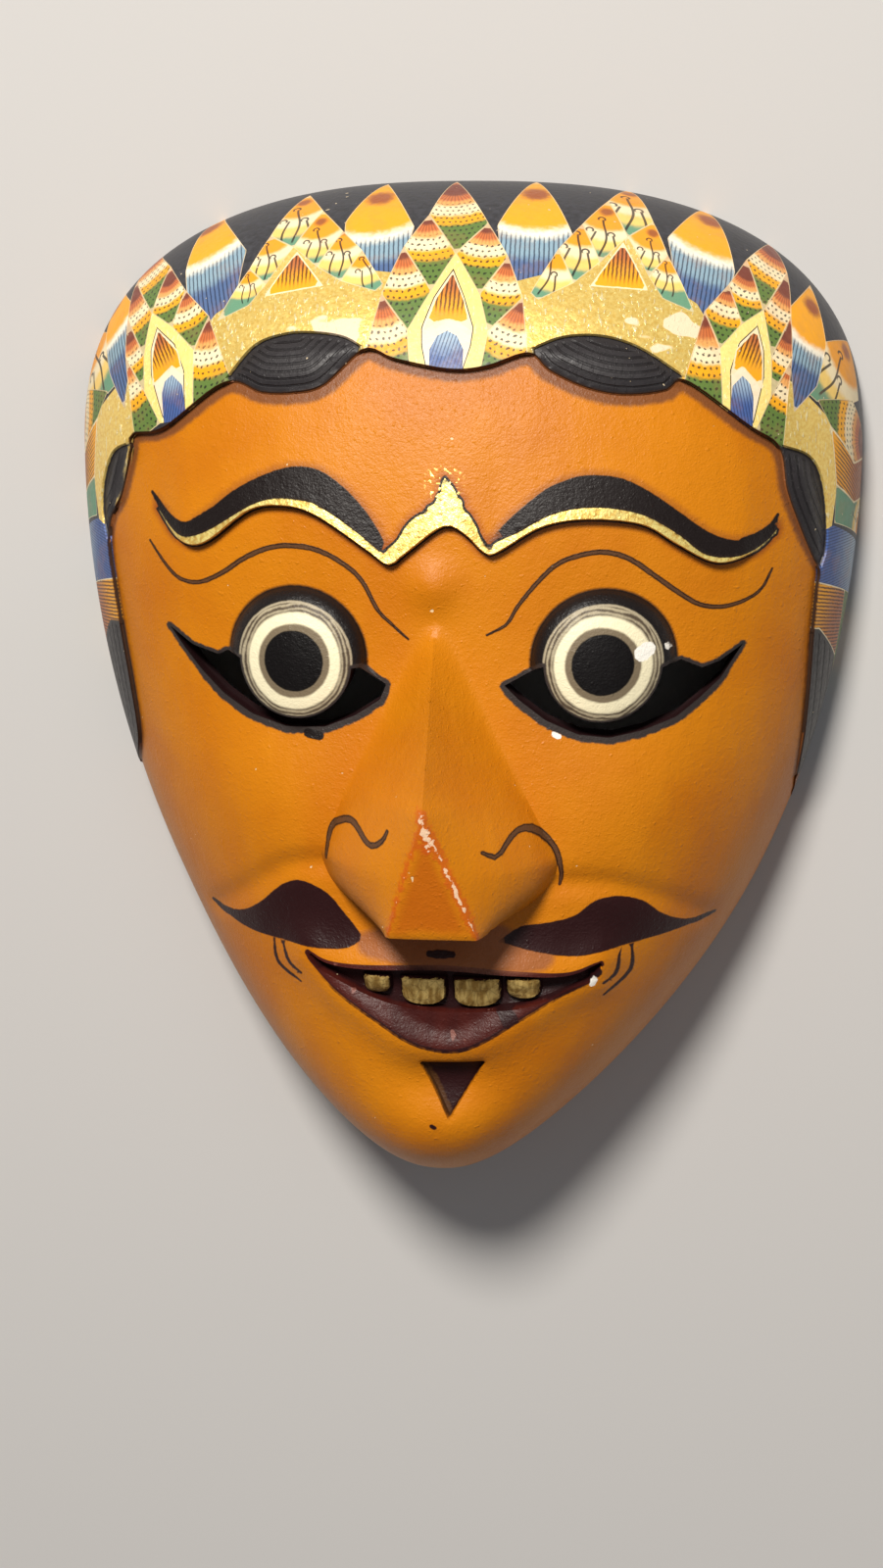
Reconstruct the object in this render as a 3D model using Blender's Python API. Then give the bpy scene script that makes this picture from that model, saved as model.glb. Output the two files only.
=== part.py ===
"""A carved wooden topeng mask, lying face up on its flat back rim.

The mask is one hollow piece. X is the wearer's left, as a viewer sees it to the right, +Y is the crown
and +Z is the front of the face. The shell is a front skin and a back skin over the same ground plan,
joined by a flat rim and by the walls of the two sight slits under the eyeballs.
Carving is laid out in shares of the mask's half width and half height.
"""
import math

import bmesh
import bpy
import numpy as np
from mathutils import Vector
from mathutils.geometry import delaunay_2d_cdt

# Overall sizes in metres
HALF_WIDTH = 0.0747
HALF_HEIGHT = 0.095
FACE_DEPTH = 0.054
WALL = 0.007
TEMPLE_HEIGHT = 0.0445
CHIN_LEAN = 0.003

# Carving depths and sizes in metres
DIADEM_RISE = 0.0018
HAIR_BULGE = 0.0012
HAIR_ROUNDING = 0.0035
HAIR_SINK = 0.0011
BROW_RISE = 0.0020
BROW_FADE = 0.0110
BROW_TIP_LENGTH = 0.0080
SOCKET_DEPTH = 0.0016
BRIDGE_BOSS_RISE = 0.0016
BRIDGE_BOSS_RADIUS = 0.0042
EYE_RADIUS = 0.0104
EYE_BULGE = 0.0044
LID_RISE = 0.0009
NOSE_RISE = 0.0215
NOSE_TIP_DROP = 0.0045
NOSE_FACET_HALF = 0.0080
NOSE_WING_HALF = 0.0210
NOSE_UNDERSIDE = 0.0016
NOSE_HOLLOW = 0.0080
NOSE_HOLLOW_REACH = 0.0140
LIP_RISE = 0.0022
LIP_REACH = 0.0045
LIP_SLOPE = 0.0018
MOUTH_DEPTH = 0.0026
TOOTH_RISE = 0.0024
UNDERLIP_HOLLOW = 0.0022
UNDERLIP_REACH = 0.0060
CHIN_BOSS_RISE = 0.0032
CHIN_BOSS_REACH = 0.0120
GOATEE_DEPTH = 0.0016
CHEEK_RISE = 0.0020
CHEEK_REACH = 0.0160
FOLD_DEPTH = 0.0010
FOLD_REACH = 0.0024
RIM_BLEND = 0.0120

# Mesh steps in metres
RIM_POINTS = 104
GROUND_STEP = 0.0036
BACK_STEP = 0.0090
EDGE_STEP = 0.0020
STEP_WIDTH = 0.0003
CLEAR_OF_EDGES = 0.0015
RING_SHARES = (0.9975, 0.989, 0.973, 0.948, 0.915, 0.875)

# Places in shares of the half width and the half height
NOSE_BRIDGE = (-0.027, 0.190)
NOSE_TIP = (-0.027, -0.124)
NOSE_BASE = (-0.010, -0.362)
NOSE_WINGS_Y = -0.250
BRIDGE_BOSS = (-0.030, 0.262)
CHEEKS = [(-0.44, -0.16), (0.44, -0.16)]
CHIN_BOSS = (-0.010, -0.860)
UNDERLIP = (0.0, -0.700)
NOSE_HOLLOW_PLACE = (-0.020, -0.160)

# Outlines in shares of the half width and the half height
BROW_EDGE = [
    (-0.723, 0.384), (-0.676, 0.337), (-0.629, 0.321), (-0.576, 0.334), (-0.471, 0.394),
    (-0.382, 0.404), (-0.304, 0.387), (-0.186, 0.328), (-0.134, 0.301), (-0.095, 0.321),
    (-0.005, 0.373), (0.046, 0.359), (0.087, 0.328), (0.119, 0.325), (0.222, 0.372),
    (0.328, 0.386), (0.455, 0.375), (0.535, 0.338), (0.614, 0.303), (0.668, 0.300),
    (0.738, 0.321), (0.775, 0.353),
]
HAIRLINE = [
    (-0.852, -0.160), (-0.820, -0.086), (-0.828, 0.018), (-0.846, 0.117), (-0.864, 0.214),
    (-0.879, 0.300), (-0.868, 0.355), (-0.831, 0.400), (-0.800, 0.481), (-0.792, 0.520),
    (-0.700, 0.537), (-0.540, 0.625), (-0.449, 0.610), (-0.371, 0.610), (-0.295, 0.625),
    (-0.202, 0.689), (-0.133, 0.674), (-0.040, 0.659), (0.027, 0.654), (0.097, 0.662),
    (0.187, 0.684), (0.234, 0.654), (0.325, 0.622), (0.416, 0.610), (0.506, 0.617),
    (0.551, 0.633), (0.698, 0.550), (0.775, 0.506), (0.797, 0.426), (0.831, 0.355),
    (0.865, 0.293), (0.884, 0.262), (0.880, 0.229), (0.873, 0.132), (0.869, 0.031),
    (0.862, -0.077), (0.850, -0.165),
]
LENS_ARCHES = [
    [(-0.800, 0.505), (-0.855, 0.482), (-0.890, 0.420), (-0.896, 0.355), (-0.880, 0.305)],
    [(-0.536, 0.632), (-0.469, 0.693), (-0.397, 0.715), (-0.327, 0.719), (-0.253, 0.712), (-0.205, 0.694)],
    [(0.190, 0.691), (0.265, 0.713), (0.358, 0.714), (0.447, 0.691), (0.548, 0.640)],
    [(0.778, 0.510), (0.846, 0.488), (0.880, 0.446), (0.897, 0.377), (0.900, 0.308), (0.887, 0.270)],
]
CHEEK_FOLDS = [
    [(-0.292, -0.270), (-0.390, -0.285), (-0.500, -0.345), (-0.600, -0.405)],
    [(0.275, -0.300), (0.400, -0.310), (0.520, -0.352), (0.630, -0.412)],
]
UPPER_LIP = [
    (-0.342, -0.451), (-0.296, -0.470), (-0.206, -0.475), (-0.008, -0.469), (0.159, -0.479),
    (0.294, -0.485), (0.375, -0.464),
]
LOWER_LIP = [
    (0.359, -0.499), (0.276, -0.523), (0.178, -0.567), (0.077, -0.615), (0.008, -0.630),
    (-0.078, -0.615), (-0.163, -0.575), (-0.269, -0.521), (-0.342, -0.465),
]
GAP_FLOOR = [
    (0.343, -0.498), (0.231, -0.531), (0.135, -0.547), (0.003, -0.550), (-0.105, -0.543),
    (-0.198, -0.521), (-0.303, -0.482),
]
TEETH = [(-0.201, -0.134, -0.524), (-0.108, 0.001, -0.544), (0.020, 0.134, -0.546), (0.148, 0.229, -0.530)]
TOOTH_TOP = -0.486
GOATEE = [(-0.064, -0.659), (0.098, -0.655), (0.006, -0.777)]

# Eye outlines in shares of the eyeball's radius, from its centre
EYES = {
    "left": {
        "centre": (-0.361, 0.120),
        "lower_lid": [
            (-2.42, 0.36), (-2.12, -0.01), (-1.80, -0.36), (-1.38, -0.73), (-0.84, -1.04),
            (-0.20, -1.21), (0.49, -1.18), (1.02, -0.96), (1.46, -0.67), (1.57, -0.40),
        ],
        "outer_lid": [(-1.96, 0.07), (-1.46, -0.06), (-1.28, 0.04)],
        "inner_lid": [(1.14, -0.10)],
    },
    "right": {
        "centre": (0.371, 0.121),
        "lower_lid": [
            (-1.67, -0.40), (-1.42, -0.65), (-0.97, -1.00), (-0.42, -1.25), (0.11, -1.32),
            (0.66, -1.22), (1.24, -1.02), (1.62, -0.73), (1.99, -0.40), (2.36, 0.17),
        ],
        "outer_lid": [(1.96, -0.10), (1.67, -0.19), (1.30, -0.02)],
        "inner_lid": [(-1.20, -0.14)],
    },
}
EYE_RING = 1.20
BALL_CUT_ANGLES = (-178, -6)
LID_END_ANGLE = 9

WOOD_COLOUR = (0.66, 0.24, 0.025, 1.0)
WOOD_ROUGHNESS = 0.42
SHARP_ANGLE = 38


def smooth(low, high, value):
    """A ramp from 0 at low to 1 at high, level at both ends."""
    share = np.clip((value - low) / (high - low), 0.0, 1.0)
    return share * share * (3.0 - 2.0 * share)


def hill(distance, reach):
    """A round hill, 1 at its middle and near 0 past twice its reach."""
    return np.exp(-(distance / reach) ** 2)


def on_face(shares):
    """Turn shares of the half width and half height into metres."""
    return np.asarray(shares, float) * (HALF_WIDTH, HALF_HEIGHT)


def resample(points, step, closed=False):
    """Points at about equal steps along a polyline, corners not kept."""
    line = np.vstack([points, points[:1]]) if closed else np.asarray(points)
    lengths = np.linalg.norm(np.diff(line, axis=0), axis=1)
    along = np.concatenate([[0.0], np.cumsum(lengths)])
    count = max(3, int(round(along[-1] / step)))
    places = np.linspace(0.0, along[-1], count + 1)
    if closed:
        places = places[:-1]
    return np.column_stack([np.interp(places, along, line[:, k]) for k in (0, 1)])


def curve(points, step):
    """A smooth open curve through the points, sampled at about the given step."""
    points = np.asarray(points, float)
    ends = np.vstack([2 * points[0] - points[1], points, 2 * points[-1] - points[-2]])
    share = np.linspace(0.0, 1.0, 9)[:, None]
    pieces = []
    for a, b, c, d in zip(ends[:-3], ends[1:-2], ends[2:-1], ends[3:]):
        pieces.append(0.5 * (2 * b + (c - a) * share + (2 * a - 5 * b + 4 * c - d) * share ** 2
                             + (3 * b - a - 3 * c + d) * share ** 3))
    return resample(np.vstack(pieces), step)


def offset(line, distance):
    """The open line moved sideways, to its left for a positive distance."""
    along = np.gradient(line, axis=0)
    along /= np.linalg.norm(along, axis=1, keepdims=True)
    return line + distance * np.column_stack([-along[:, 1], along[:, 0]])


def side_distance(x, y, line):
    """Distance to an open line, positive on its left."""
    start = line[:-1]
    run = np.diff(line, axis=0)
    best = np.full(x.shape, np.inf)
    side = np.ones(x.shape)
    for (ax, ay), (dx, dy) in zip(start, run):
        share = np.clip(((x - ax) * dx + (y - ay) * dy) / (dx * dx + dy * dy), 0.0, 1.0)
        gap_x = x - ax - share * dx
        gap_y = y - ay - share * dy
        gap = np.hypot(gap_x, gap_y)
        nearer = gap < best - 1e-9
        best = np.where(nearer, gap, best)
        side = np.where(nearer, np.sign(dx * (y - ay) - dy * (x - ax)), side)
    return best * np.where(side == 0, 1.0, side)


def inside(x, y, outline):
    """True where a point is inside a closed outline."""
    result = np.zeros(x.shape, bool)
    for (ax, ay), (bx, by) in zip(outline, np.roll(outline, -1, axis=0)):
        if ay == by:
            continue
        crosses = (ay > y) != (by > y)
        result ^= crosses & (x < ax + (y - ay) * (bx - ax) / (by - ay))
    return result


def depth_inside(x, y, outline):
    """Distance to a closed outline, positive inside."""
    closed = np.vstack([outline, outline[:1]])
    gap = np.abs(side_distance(x, y, closed))
    return np.where(inside(x, y, outline), gap, -gap)


def half_breadth(y, inset):
    """Half the breadth of the ground plan at height y, round above the temples, pointed below."""
    rise = HALF_HEIGHT - inset - TEMPLE_HEIGHT
    drop = HALF_HEIGHT - inset + TEMPLE_HEIGHT
    above = np.clip(1 - np.abs((y - TEMPLE_HEIGHT) / rise) ** 2.5, 0, 1) ** 0.4
    below = np.clip(1 - ((TEMPLE_HEIGHT - y) / drop) ** 2, 0, 1) ** 0.66
    return (HALF_WIDTH - inset) * np.where(y > TEMPLE_HEIGHT, above, below)


def lean(y):
    """The chin leans a little to one side, as the hand-carved one does."""
    return -CHIN_LEAN * smooth(-0.35, -1.0, y / HALF_HEIGHT)


def dome(x, y, inset):
    """The plain shell without carving: an arched profile with arched cross sections."""
    share = np.abs(y) / (HALF_HEIGHT - inset)
    profile = np.sqrt(np.clip(1 - share ** np.where(y > 0, 3.6, 8.0), 0, 1))
    across = np.abs(x - lean(y)) / np.maximum(half_breadth(y, inset), 1e-9)
    section = np.sqrt(np.clip(1 - across ** 2.3, 0, 1))
    return (FACE_DEPTH - inset) * profile * section


def ground_outline(inset):
    """The ground plan as a closed loop of evenly spaced points, anticlockwise from the chin."""
    turn = np.linspace(-0.5 * math.pi, 1.5 * math.pi, 2000, endpoint=False)
    y_high = TEMPLE_HEIGHT + (HALF_HEIGHT - inset - TEMPLE_HEIGHT) * np.abs(np.sin(turn)) ** 0.8
    y_low = TEMPLE_HEIGHT - (HALF_HEIGHT - inset + TEMPLE_HEIGHT) * np.abs(np.sin(turn))
    y = np.where(np.sin(turn) > 0, y_high, y_low)
    x = half_breadth(y, inset) * np.where(np.cos(turn) < 0, -1.0, 1.0)
    loop = np.column_stack([x + lean(y), y])
    length = np.linalg.norm(np.diff(np.vstack([loop, loop[:1]]), axis=0), axis=1).sum()
    return resample(loop, length / RIM_POINTS, closed=True)


def eye_centre(eye):
    return on_face(eye["centre"])


def slit_outline(eye):
    """The sight slit: along the lower lid, then back along the upper lid and round under the eyeball."""
    centre = eye_centre(eye)
    low, high = (math.radians(a) for a in BALL_CUT_ANGLES)
    under = [(math.cos(a), math.sin(a)) for a in np.linspace(low, high, 23)]
    lower = resample(np.array(eye["lower_lid"]), EDGE_STEP / EYE_RADIUS * 0.8)
    if eye["outer_lid"][0][0] < 0:
        upper = eye["inner_lid"] + under[::-1] + eye["outer_lid"][::-1]
    else:
        upper = eye["outer_lid"] + under[::-1] + eye["inner_lid"]
    return centre + EYE_RADIUS * np.vstack([lower, upper])


def circle(centre, radius, count):
    turn = np.linspace(0.0, 2 * math.pi, count, endpoint=False)
    return centre + radius * np.column_stack([np.cos(turn), np.sin(turn)])


def lens_outline(arch, hairline):
    """The closed lobe between an arch and the stretch of hairline under it."""
    ends = [int(np.argmin(np.hypot(*(hairline - end).T))) for end in (arch[0], arch[-1])]
    return np.vstack([arch, hairline[min(ends) + 1:max(ends)][::-1]])


def nose_line(y):
    """X of the nose's middle line."""
    bridge, tip, base = (on_face(p) for p in (NOSE_BRIDGE, NOSE_TIP, NOSE_BASE))
    return np.interp(-y, [-bridge[1], -tip[1], -base[1]], [bridge[0], tip[0], base[0]])


def nose_half(y):
    """Half breadth of the nose where it meets the cheeks."""
    bridge_y = NOSE_BRIDGE[1] * HALF_HEIGHT
    wing_y = NOSE_WINGS_Y * HALF_HEIGHT
    base_y = NOSE_BASE[1] * HALF_HEIGHT
    widening = NOSE_WING_HALF * (0.10 + 0.90 * np.clip((bridge_y - y) / (bridge_y - wing_y), 0, 1))
    closing = NOSE_WING_HALF * np.sqrt(np.clip(1 - ((wing_y - y) / (1.22 * (wing_y - base_y))) ** 2, 0, 1))
    return np.where(y > wing_y, widening, closing)


def nose_height(x, y):
    """A wedge nose with a flat triangular facet below its tip. Its foot runs softly into the
    cheeks above and closes in round wings below."""
    bridge_y = NOSE_BRIDGE[1] * HALF_HEIGHT
    tip_y = NOSE_TIP[1] * HALF_HEIGHT
    wing_y = NOSE_WINGS_Y * HALF_HEIGHT
    base_y = NOSE_BASE[1] * HALF_HEIGHT
    down = np.clip((tip_y - y) / (tip_y - base_y), 0, 1)
    ridge = NOSE_RISE * np.clip((bridge_y - y) / (bridge_y - tip_y), 0, 1) ** 1.1 - NOSE_TIP_DROP * down
    flat = NOSE_FACET_HALF * down
    half = np.maximum(nose_half(y), 1e-6)
    out = np.clip((np.abs(x - nose_line(y)) - flat) / np.maximum(half - flat, 1e-6), 0, 1)
    wing = (1 - out) ** (1.45 - 0.75 * smooth(-0.3 * bridge_y, -wing_y, -y))
    underside = smooth(base_y - NOSE_UNDERSIDE, base_y, y)
    return np.where(np.abs(x - nose_line(y)) < half, ridge * wing * underside, 0)


def mouth_height(x, y):
    """Raised lips, a dark gap sunk between them and four teeth standing in the gap."""
    lips = curve(on_face(UPPER_LIP), EDGE_STEP)
    under = curve(on_face(LOWER_LIP), EDGE_STEP)
    mouth = np.vstack([lips, under])
    gap = np.vstack([lips, curve(on_face(GAP_FLOOR), EDGE_STEP)])
    in_mouth = depth_inside(x, y, mouth)
    in_gap = depth_inside(x, y, gap)
    hollow_x, hollow_y = on_face(UNDERLIP)
    height = LIP_RISE * hill(np.minimum(in_mouth, 0), LIP_REACH)
    height -= UNDERLIP_HOLLOW * hill(np.hypot((x - hollow_x) / 1.6, y - hollow_y), UNDERLIP_REACH)
    height -= LIP_SLOPE * smooth(0, LIP_REACH, in_mouth)
    height -= MOUTH_DEPTH * smooth(-STEP_WIDTH, STEP_WIDTH, in_gap)
    for left, right, bottom in TEETH:
        outline = tooth_outline(left, right, bottom)
        height += TOOTH_RISE * smooth(-STEP_WIDTH, STEP_WIDTH, depth_inside(x, y, outline))
    return height


def tooth_outline(left, right, bottom, grow=0.0):
    """A square tooth with a rounded lower edge."""
    low_left, top_right = on_face((left, bottom)), on_face((right, TOOTH_TOP))
    middle = (low_left + top_right) / 2
    half = (top_right - low_left) / 2
    corners = [(1, 1), (-1, 1), (-1, -0.4), (-0.6, -0.9), (0, -1), (0.6, -0.9), (1, -0.4)]
    return middle + np.array(corners) * (half + grow)


def relief(x, y):
    """Height of the carving above the plain dome."""
    brow_line = curve(on_face(BROW_EDGE), EDGE_STEP)
    above = side_distance(x, y, brow_line)
    tip_l, tip_r = brow_line[0][0], brow_line[-1][0]
    ends = smooth(tip_l, tip_l + BROW_TIP_LENGTH, x) * smooth(-tip_r, -tip_r + BROW_TIP_LENGTH, -x)
    height = BROW_RISE * smooth(-STEP_WIDTH, STEP_WIDTH, above) * np.exp(-np.abs(above) / BROW_FADE) * ends
    for eye in EYES.values():
        cx, cy = eye_centre(eye)
        away = np.hypot(x - cx, (y - cy) * 1.15)
        height -= SOCKET_DEPTH * hill(away, 2.0 * EYE_RADIUS) * smooth(STEP_WIDTH, -STEP_WIDTH, above)
        from_centre = np.hypot(x - cx, y - cy)
        ring = EYE_RING * EYE_RADIUS
        height += LID_RISE * smooth(ring + STEP_WIDTH, ring - STEP_WIDTH, from_centre)
        height += EYE_BULGE * np.clip(1 - (from_centre / ring) ** 2, 0, 1) ** 0.6
    boss_x, boss_y = on_face(BRIDGE_BOSS)
    height += BRIDGE_BOSS_RISE * hill(np.hypot(x - boss_x, y - boss_y), BRIDGE_BOSS_RADIUS)
    for cheek_x, cheek_y in on_face(CHEEKS):
        height += CHEEK_RISE * hill(np.hypot(x - cheek_x, y - cheek_y), CHEEK_REACH)
    chin_x, chin_y = on_face(CHIN_BOSS)
    height += CHIN_BOSS_RISE * hill(np.hypot((x - chin_x) / 1.2, y - chin_y), CHIN_BOSS_REACH)
    for fold in CHEEK_FOLDS:
        away = np.abs(side_distance(x, y, curve(on_face(fold), EDGE_STEP)))
        height -= FOLD_DEPTH * hill(away, FOLD_REACH)
    height += nose_height(x, y)
    height += mouth_height(x, y)
    wedge = depth_inside(x, y, on_face(GOATEE))
    height -= GOATEE_DEPTH * smooth(-STEP_WIDTH, STEP_WIDTH, wedge)
    return height + headdress(x, y)


def headdress(x, y):
    """The diadem's raised ground above the hairline, with swelling lobes of hair."""
    hairline = curve(on_face(HAIRLINE), EDGE_STEP)
    height = DIADEM_RISE * smooth(-STEP_WIDTH, STEP_WIDTH, side_distance(x, y, hairline))
    for arch in LENS_ARCHES:
        within = depth_inside(x, y, lens_outline(curve(on_face(arch), EDGE_STEP), hairline))
        height -= HAIR_SINK * smooth(-STEP_WIDTH, STEP_WIDTH, within)
        height += HAIR_BULGE * smooth(0, HAIR_ROUNDING, within)
    return height


def front_height(x, y):
    """The carved front. The relief fades out to nothing at the very edge of the plan."""
    plain = dome(x, y, 0.0)
    return plain + relief(x, y) * smooth(0.0, RIM_BLEND, plain)


def back_height(x, y):
    """The hollow behind the face, with a shallow place for the wearer's nose."""
    nose_x, nose_y = on_face(NOSE_HOLLOW_PLACE)
    hollow = NOSE_HOLLOW * hill(np.hypot((x - nose_x) / 0.75, y - nose_y), NOSE_HOLLOW_REACH)
    plain = dome(x, y, WALL)
    return plain + hollow * smooth(0.0, RIM_BLEND, plain)


def carved_lines():
    """Lines that the front mesh follows, each a pair just inside and outside a carved step."""
    brow = curve(on_face(BROW_EDGE), EDGE_STEP)
    hairline = curve(on_face(HAIRLINE), EDGE_STEP)
    lips = curve(on_face(UPPER_LIP), EDGE_STEP)
    under = curve(on_face(LOWER_LIP), EDGE_STEP)
    gap_floor = curve(on_face(GAP_FLOOR), EDGE_STEP)
    arches = [curve(on_face(arch), EDGE_STEP)[1:-1] for arch in LENS_ARCHES]
    lines = []
    for line in [brow, hairline, gap_floor, lips, under] + arches:
        lines += [offset(line, STEP_WIDTH), offset(line, -STEP_WIDTH)]
    for eye in EYES.values():
        turn = np.radians(np.linspace(LID_END_ANGLE, 180 - LID_END_ANGLE, 22))
        arc = np.column_stack([np.cos(turn), np.sin(turn)])
        for radius in (EYE_RING * EYE_RADIUS - STEP_WIDTH, EYE_RING * EYE_RADIUS + STEP_WIDTH):
            lines.append(eye_centre(eye) + radius * arc)
    return lines + nose_lines()


def nose_lines():
    """The nose's ridge, its facet's edges, the foot of each wing and its base."""
    bridge_y, tip_y, base_y = (p[1] * HALF_HEIGHT for p in (NOSE_BRIDGE, NOSE_TIP, NOSE_BASE))
    ridge = np.linspace(bridge_y, tip_y, 12)
    rows = np.linspace(tip_y, base_y, 10)
    foot = np.linspace(0.5 * (bridge_y + tip_y), base_y - NOSE_UNDERSIDE, 20)
    facet = NOSE_FACET_HALF * (tip_y - rows) / (tip_y - base_y)
    lines = [np.column_stack([nose_line(ridge), ridge])]
    for side in (-1, 1):
        edge = np.column_stack([nose_line(rows) + side * facet, rows])
        lines.append(edge[1:-1])
        for reach in (0.97, 1.02):
            lines.append(np.column_stack([nose_line(foot) + side * reach * nose_half(foot), foot]))
    across = np.linspace(-0.93, 0.93, 13) * float(nose_half(np.array(base_y)))
    for drop in (0.0, NOSE_UNDERSIDE):
        lines.append(np.column_stack([nose_line(base_y) + across, np.full(13, base_y - drop)]))
    return lines


def carved_loops():
    """Closed lines that the front mesh follows."""
    loops = []
    for left, right, bottom in TEETH:
        loops.append(tooth_outline(left, right, bottom, STEP_WIDTH))
        loops.append(tooth_outline(left, right, bottom, -STEP_WIDTH))
    goatee = on_face(GOATEE)
    middle = goatee.mean(axis=0)
    for share in (0.90, 1.06):
        loops.append(resample(middle + share * (goatee - middle), EDGE_STEP, closed=True))
    return loops


def loose_points():
    """Single points over the eyeballs and the nose."""
    points = []
    for eye in EYES.values():
        centre = eye_centre(eye)
        for share, count in ((0.28, 8), (0.55, 16), (0.80, 24), (1.0, 32)):
            points.append(circle(centre, share * EYE_RADIUS, count))
    bridge_y, tip_y, base_y = (p[1] * HALF_HEIGHT for p in (NOSE_BRIDGE, NOSE_TIP, NOSE_BASE))
    rows = np.arange(base_y, bridge_y, EDGE_STEP)
    flat = NOSE_FACET_HALF * np.clip((tip_y - rows) / (tip_y - base_y), 0, 1)
    for share in (0.25, 0.5, 0.72, 0.88):
        for side in (-1, 1):
            reach = flat + share * np.maximum(nose_half(rows) - flat, 0)
            points.append(np.column_stack([nose_line(rows) + side * reach, rows]))
    return np.vstack(points)


def even_grid(step, inset):
    """A staggered grid over the ground plan."""
    rows = np.arange(-HALF_HEIGHT, HALF_HEIGHT, step * 0.87)
    across = np.arange(-HALF_WIDTH, HALF_WIDTH, step)
    x, y = np.meshgrid(across, rows)
    x = x + (np.arange(len(rows)) % 2)[:, None] * step / 2
    grid = np.column_stack([x.ravel(), y.ravel()])
    return grid[inside(grid[:, 0], grid[:, 1], ground_outline(inset))]


def away_from(points, others, gap):
    """The points that lie at least a gap away from all the others."""
    keep = [np.min(np.hypot(*(others - p).T)) >= gap for p in points]
    return points[np.array(keep)]


def thin_out(points, gap):
    """Drop points closer than a gap to an earlier one."""
    kept = []
    for point in points:
        if all(math.hypot(*(point - other)) >= gap for other in kept[-400:]):
            kept.append(point)
    return np.array(kept)


def triangulate(loops, lines, points):
    """Triangles over the plan that follow every loop and line. The first loop bounds the plan
    and the next two are holes. Returns vertices, triangles and each bounding loop's vertex numbers."""
    plan = []
    edges = []
    for loop in loops:
        first = len(plan)
        plan += list(loop)
        edges += [(first + k, first + (k + 1) % len(loop)) for k in range(len(loop))]
    for line in lines:
        first = len(plan)
        plan += list(line)
        edges += [(first + k, first + k + 1) for k in range(len(line) - 1)]
    plan += list(points)
    flat = [Vector((float(p[0]), float(p[1]))) for p in plan]
    vertices, _, faces, origins, _, _ = delaunay_2d_cdt(flat, edges, [], 0, 1e-7)
    vertices = np.array([(v.x, v.y) for v in vertices])
    new_number = {old: new for new, olds in enumerate(origins) for old in olds}
    faces = np.array([f for f in faces if len(f) == 3])
    middle = vertices[faces].mean(axis=1)
    keep = inside(middle[:, 0], middle[:, 1], loops[0])
    for hole in loops[1:3]:
        keep &= ~inside(middle[:, 0], middle[:, 1], hole)
    rings = []
    first = 0
    for loop in loops[:3]:
        rings.append([new_number[first + k] for k in range(len(loop))])
        first += len(loop)
    return vertices, faces[keep], rings


def front_plan(slits):
    """The front skin's triangles, dense near the steep edge and along the carving."""
    outline = ground_outline(0.0)
    lines = carved_lines()
    closed = carved_loops()
    edge_points = np.vstack(lines + closed + slits + [outline])
    middle = np.array([0.0, 0.1 * HALF_HEIGHT])
    rings = []
    for share in RING_SHARES:
        ring = middle + share * (outline - middle)
        rings.append(away_from(ring, edge_points, 0.0011))
    special = loose_points()
    in_slit = np.zeros(len(special), bool)
    for slit in slits:
        in_slit |= depth_inside(special[:, 0], special[:, 1], slit) > -0.0004
    special = away_from(thin_out(special[~in_slit], 0.0009), edge_points, 0.0009)
    grid = even_grid(GROUND_STEP, 0.0)
    inner = middle + 0.85 * (outline - middle)
    grid = grid[inside(grid[:, 0], grid[:, 1], inner)]
    grid = away_from(grid, np.vstack([edge_points, special]), CLEAR_OF_EDGES)
    return triangulate([outline] + slits + closed, lines, np.vstack(rings + [special, grid]))


def back_plan(slits):
    """The back skin's triangles."""
    outline = ground_outline(WALL)
    middle = np.array([0.0, 0.1 * HALF_HEIGHT])
    rings = [middle + share * (outline - middle)[::2] for share in (0.99, 0.965, 0.92, 0.86)]
    grid = even_grid(BACK_STEP, WALL)
    inner = middle + 0.82 * (outline - middle)
    grid = grid[inside(grid[:, 0], grid[:, 1], inner)]
    grid = away_from(grid, np.vstack(slits), 0.5 * BACK_STEP)
    return triangulate([outline] + slits, [], np.vstack(rings + [grid]))


def build_shell():
    """Front skin, back skin, flat rim and slit walls as one closed mesh."""
    slits = [slit_outline(eye) for eye in EYES.values()]
    front_xy, front_faces, front_rings = front_plan(slits)
    back_xy, back_faces, back_rings = back_plan(slits)
    front_z = front_height(front_xy[:, 0], front_xy[:, 1])
    back_z = back_height(back_xy[:, 0], back_xy[:, 1])
    front_z[front_rings[0]] = 0.0
    back_z[back_rings[0]] = 0.0
    mesh = bmesh.new()
    front = [mesh.verts.new((x, y, z)) for (x, y), z in zip(front_xy, front_z)]
    back = [mesh.verts.new((x, y, z)) for (x, y), z in zip(back_xy, back_z)]
    for face in front_faces:
        mesh.faces.new([front[k] for k in face])
    for face in back_faces:
        mesh.faces.new([back[k] for k in reversed(face)])
    for front_ring, back_ring in zip(front_rings, back_rings):
        count = len(front_ring)
        for k in range(count):
            after = (k + 1) % count
            mesh.faces.new([front[front_ring[after]], front[front_ring[k]],
                            back[back_ring[k]], back[back_ring[after]]])
    loose = [v for v in mesh.verts if not v.link_faces]
    bmesh.ops.delete(mesh, geom=loose, context="VERTS")
    bmesh.ops.recalc_face_normals(mesh, faces=mesh.faces)
    bmesh.ops.triangulate(mesh, faces=[f for f in mesh.faces if len(f.verts) > 3])
    return mesh


def wood():
    material = bpy.data.materials.new("painted_wood")
    material.use_nodes = True
    shader = material.node_tree.nodes["Principled BSDF"]
    shader.inputs["Base Color"].default_value = WOOD_COLOUR
    shader.inputs["Roughness"].default_value = WOOD_ROUGHNESS
    shader.inputs["Metallic"].default_value = 0.0
    return material


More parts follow.
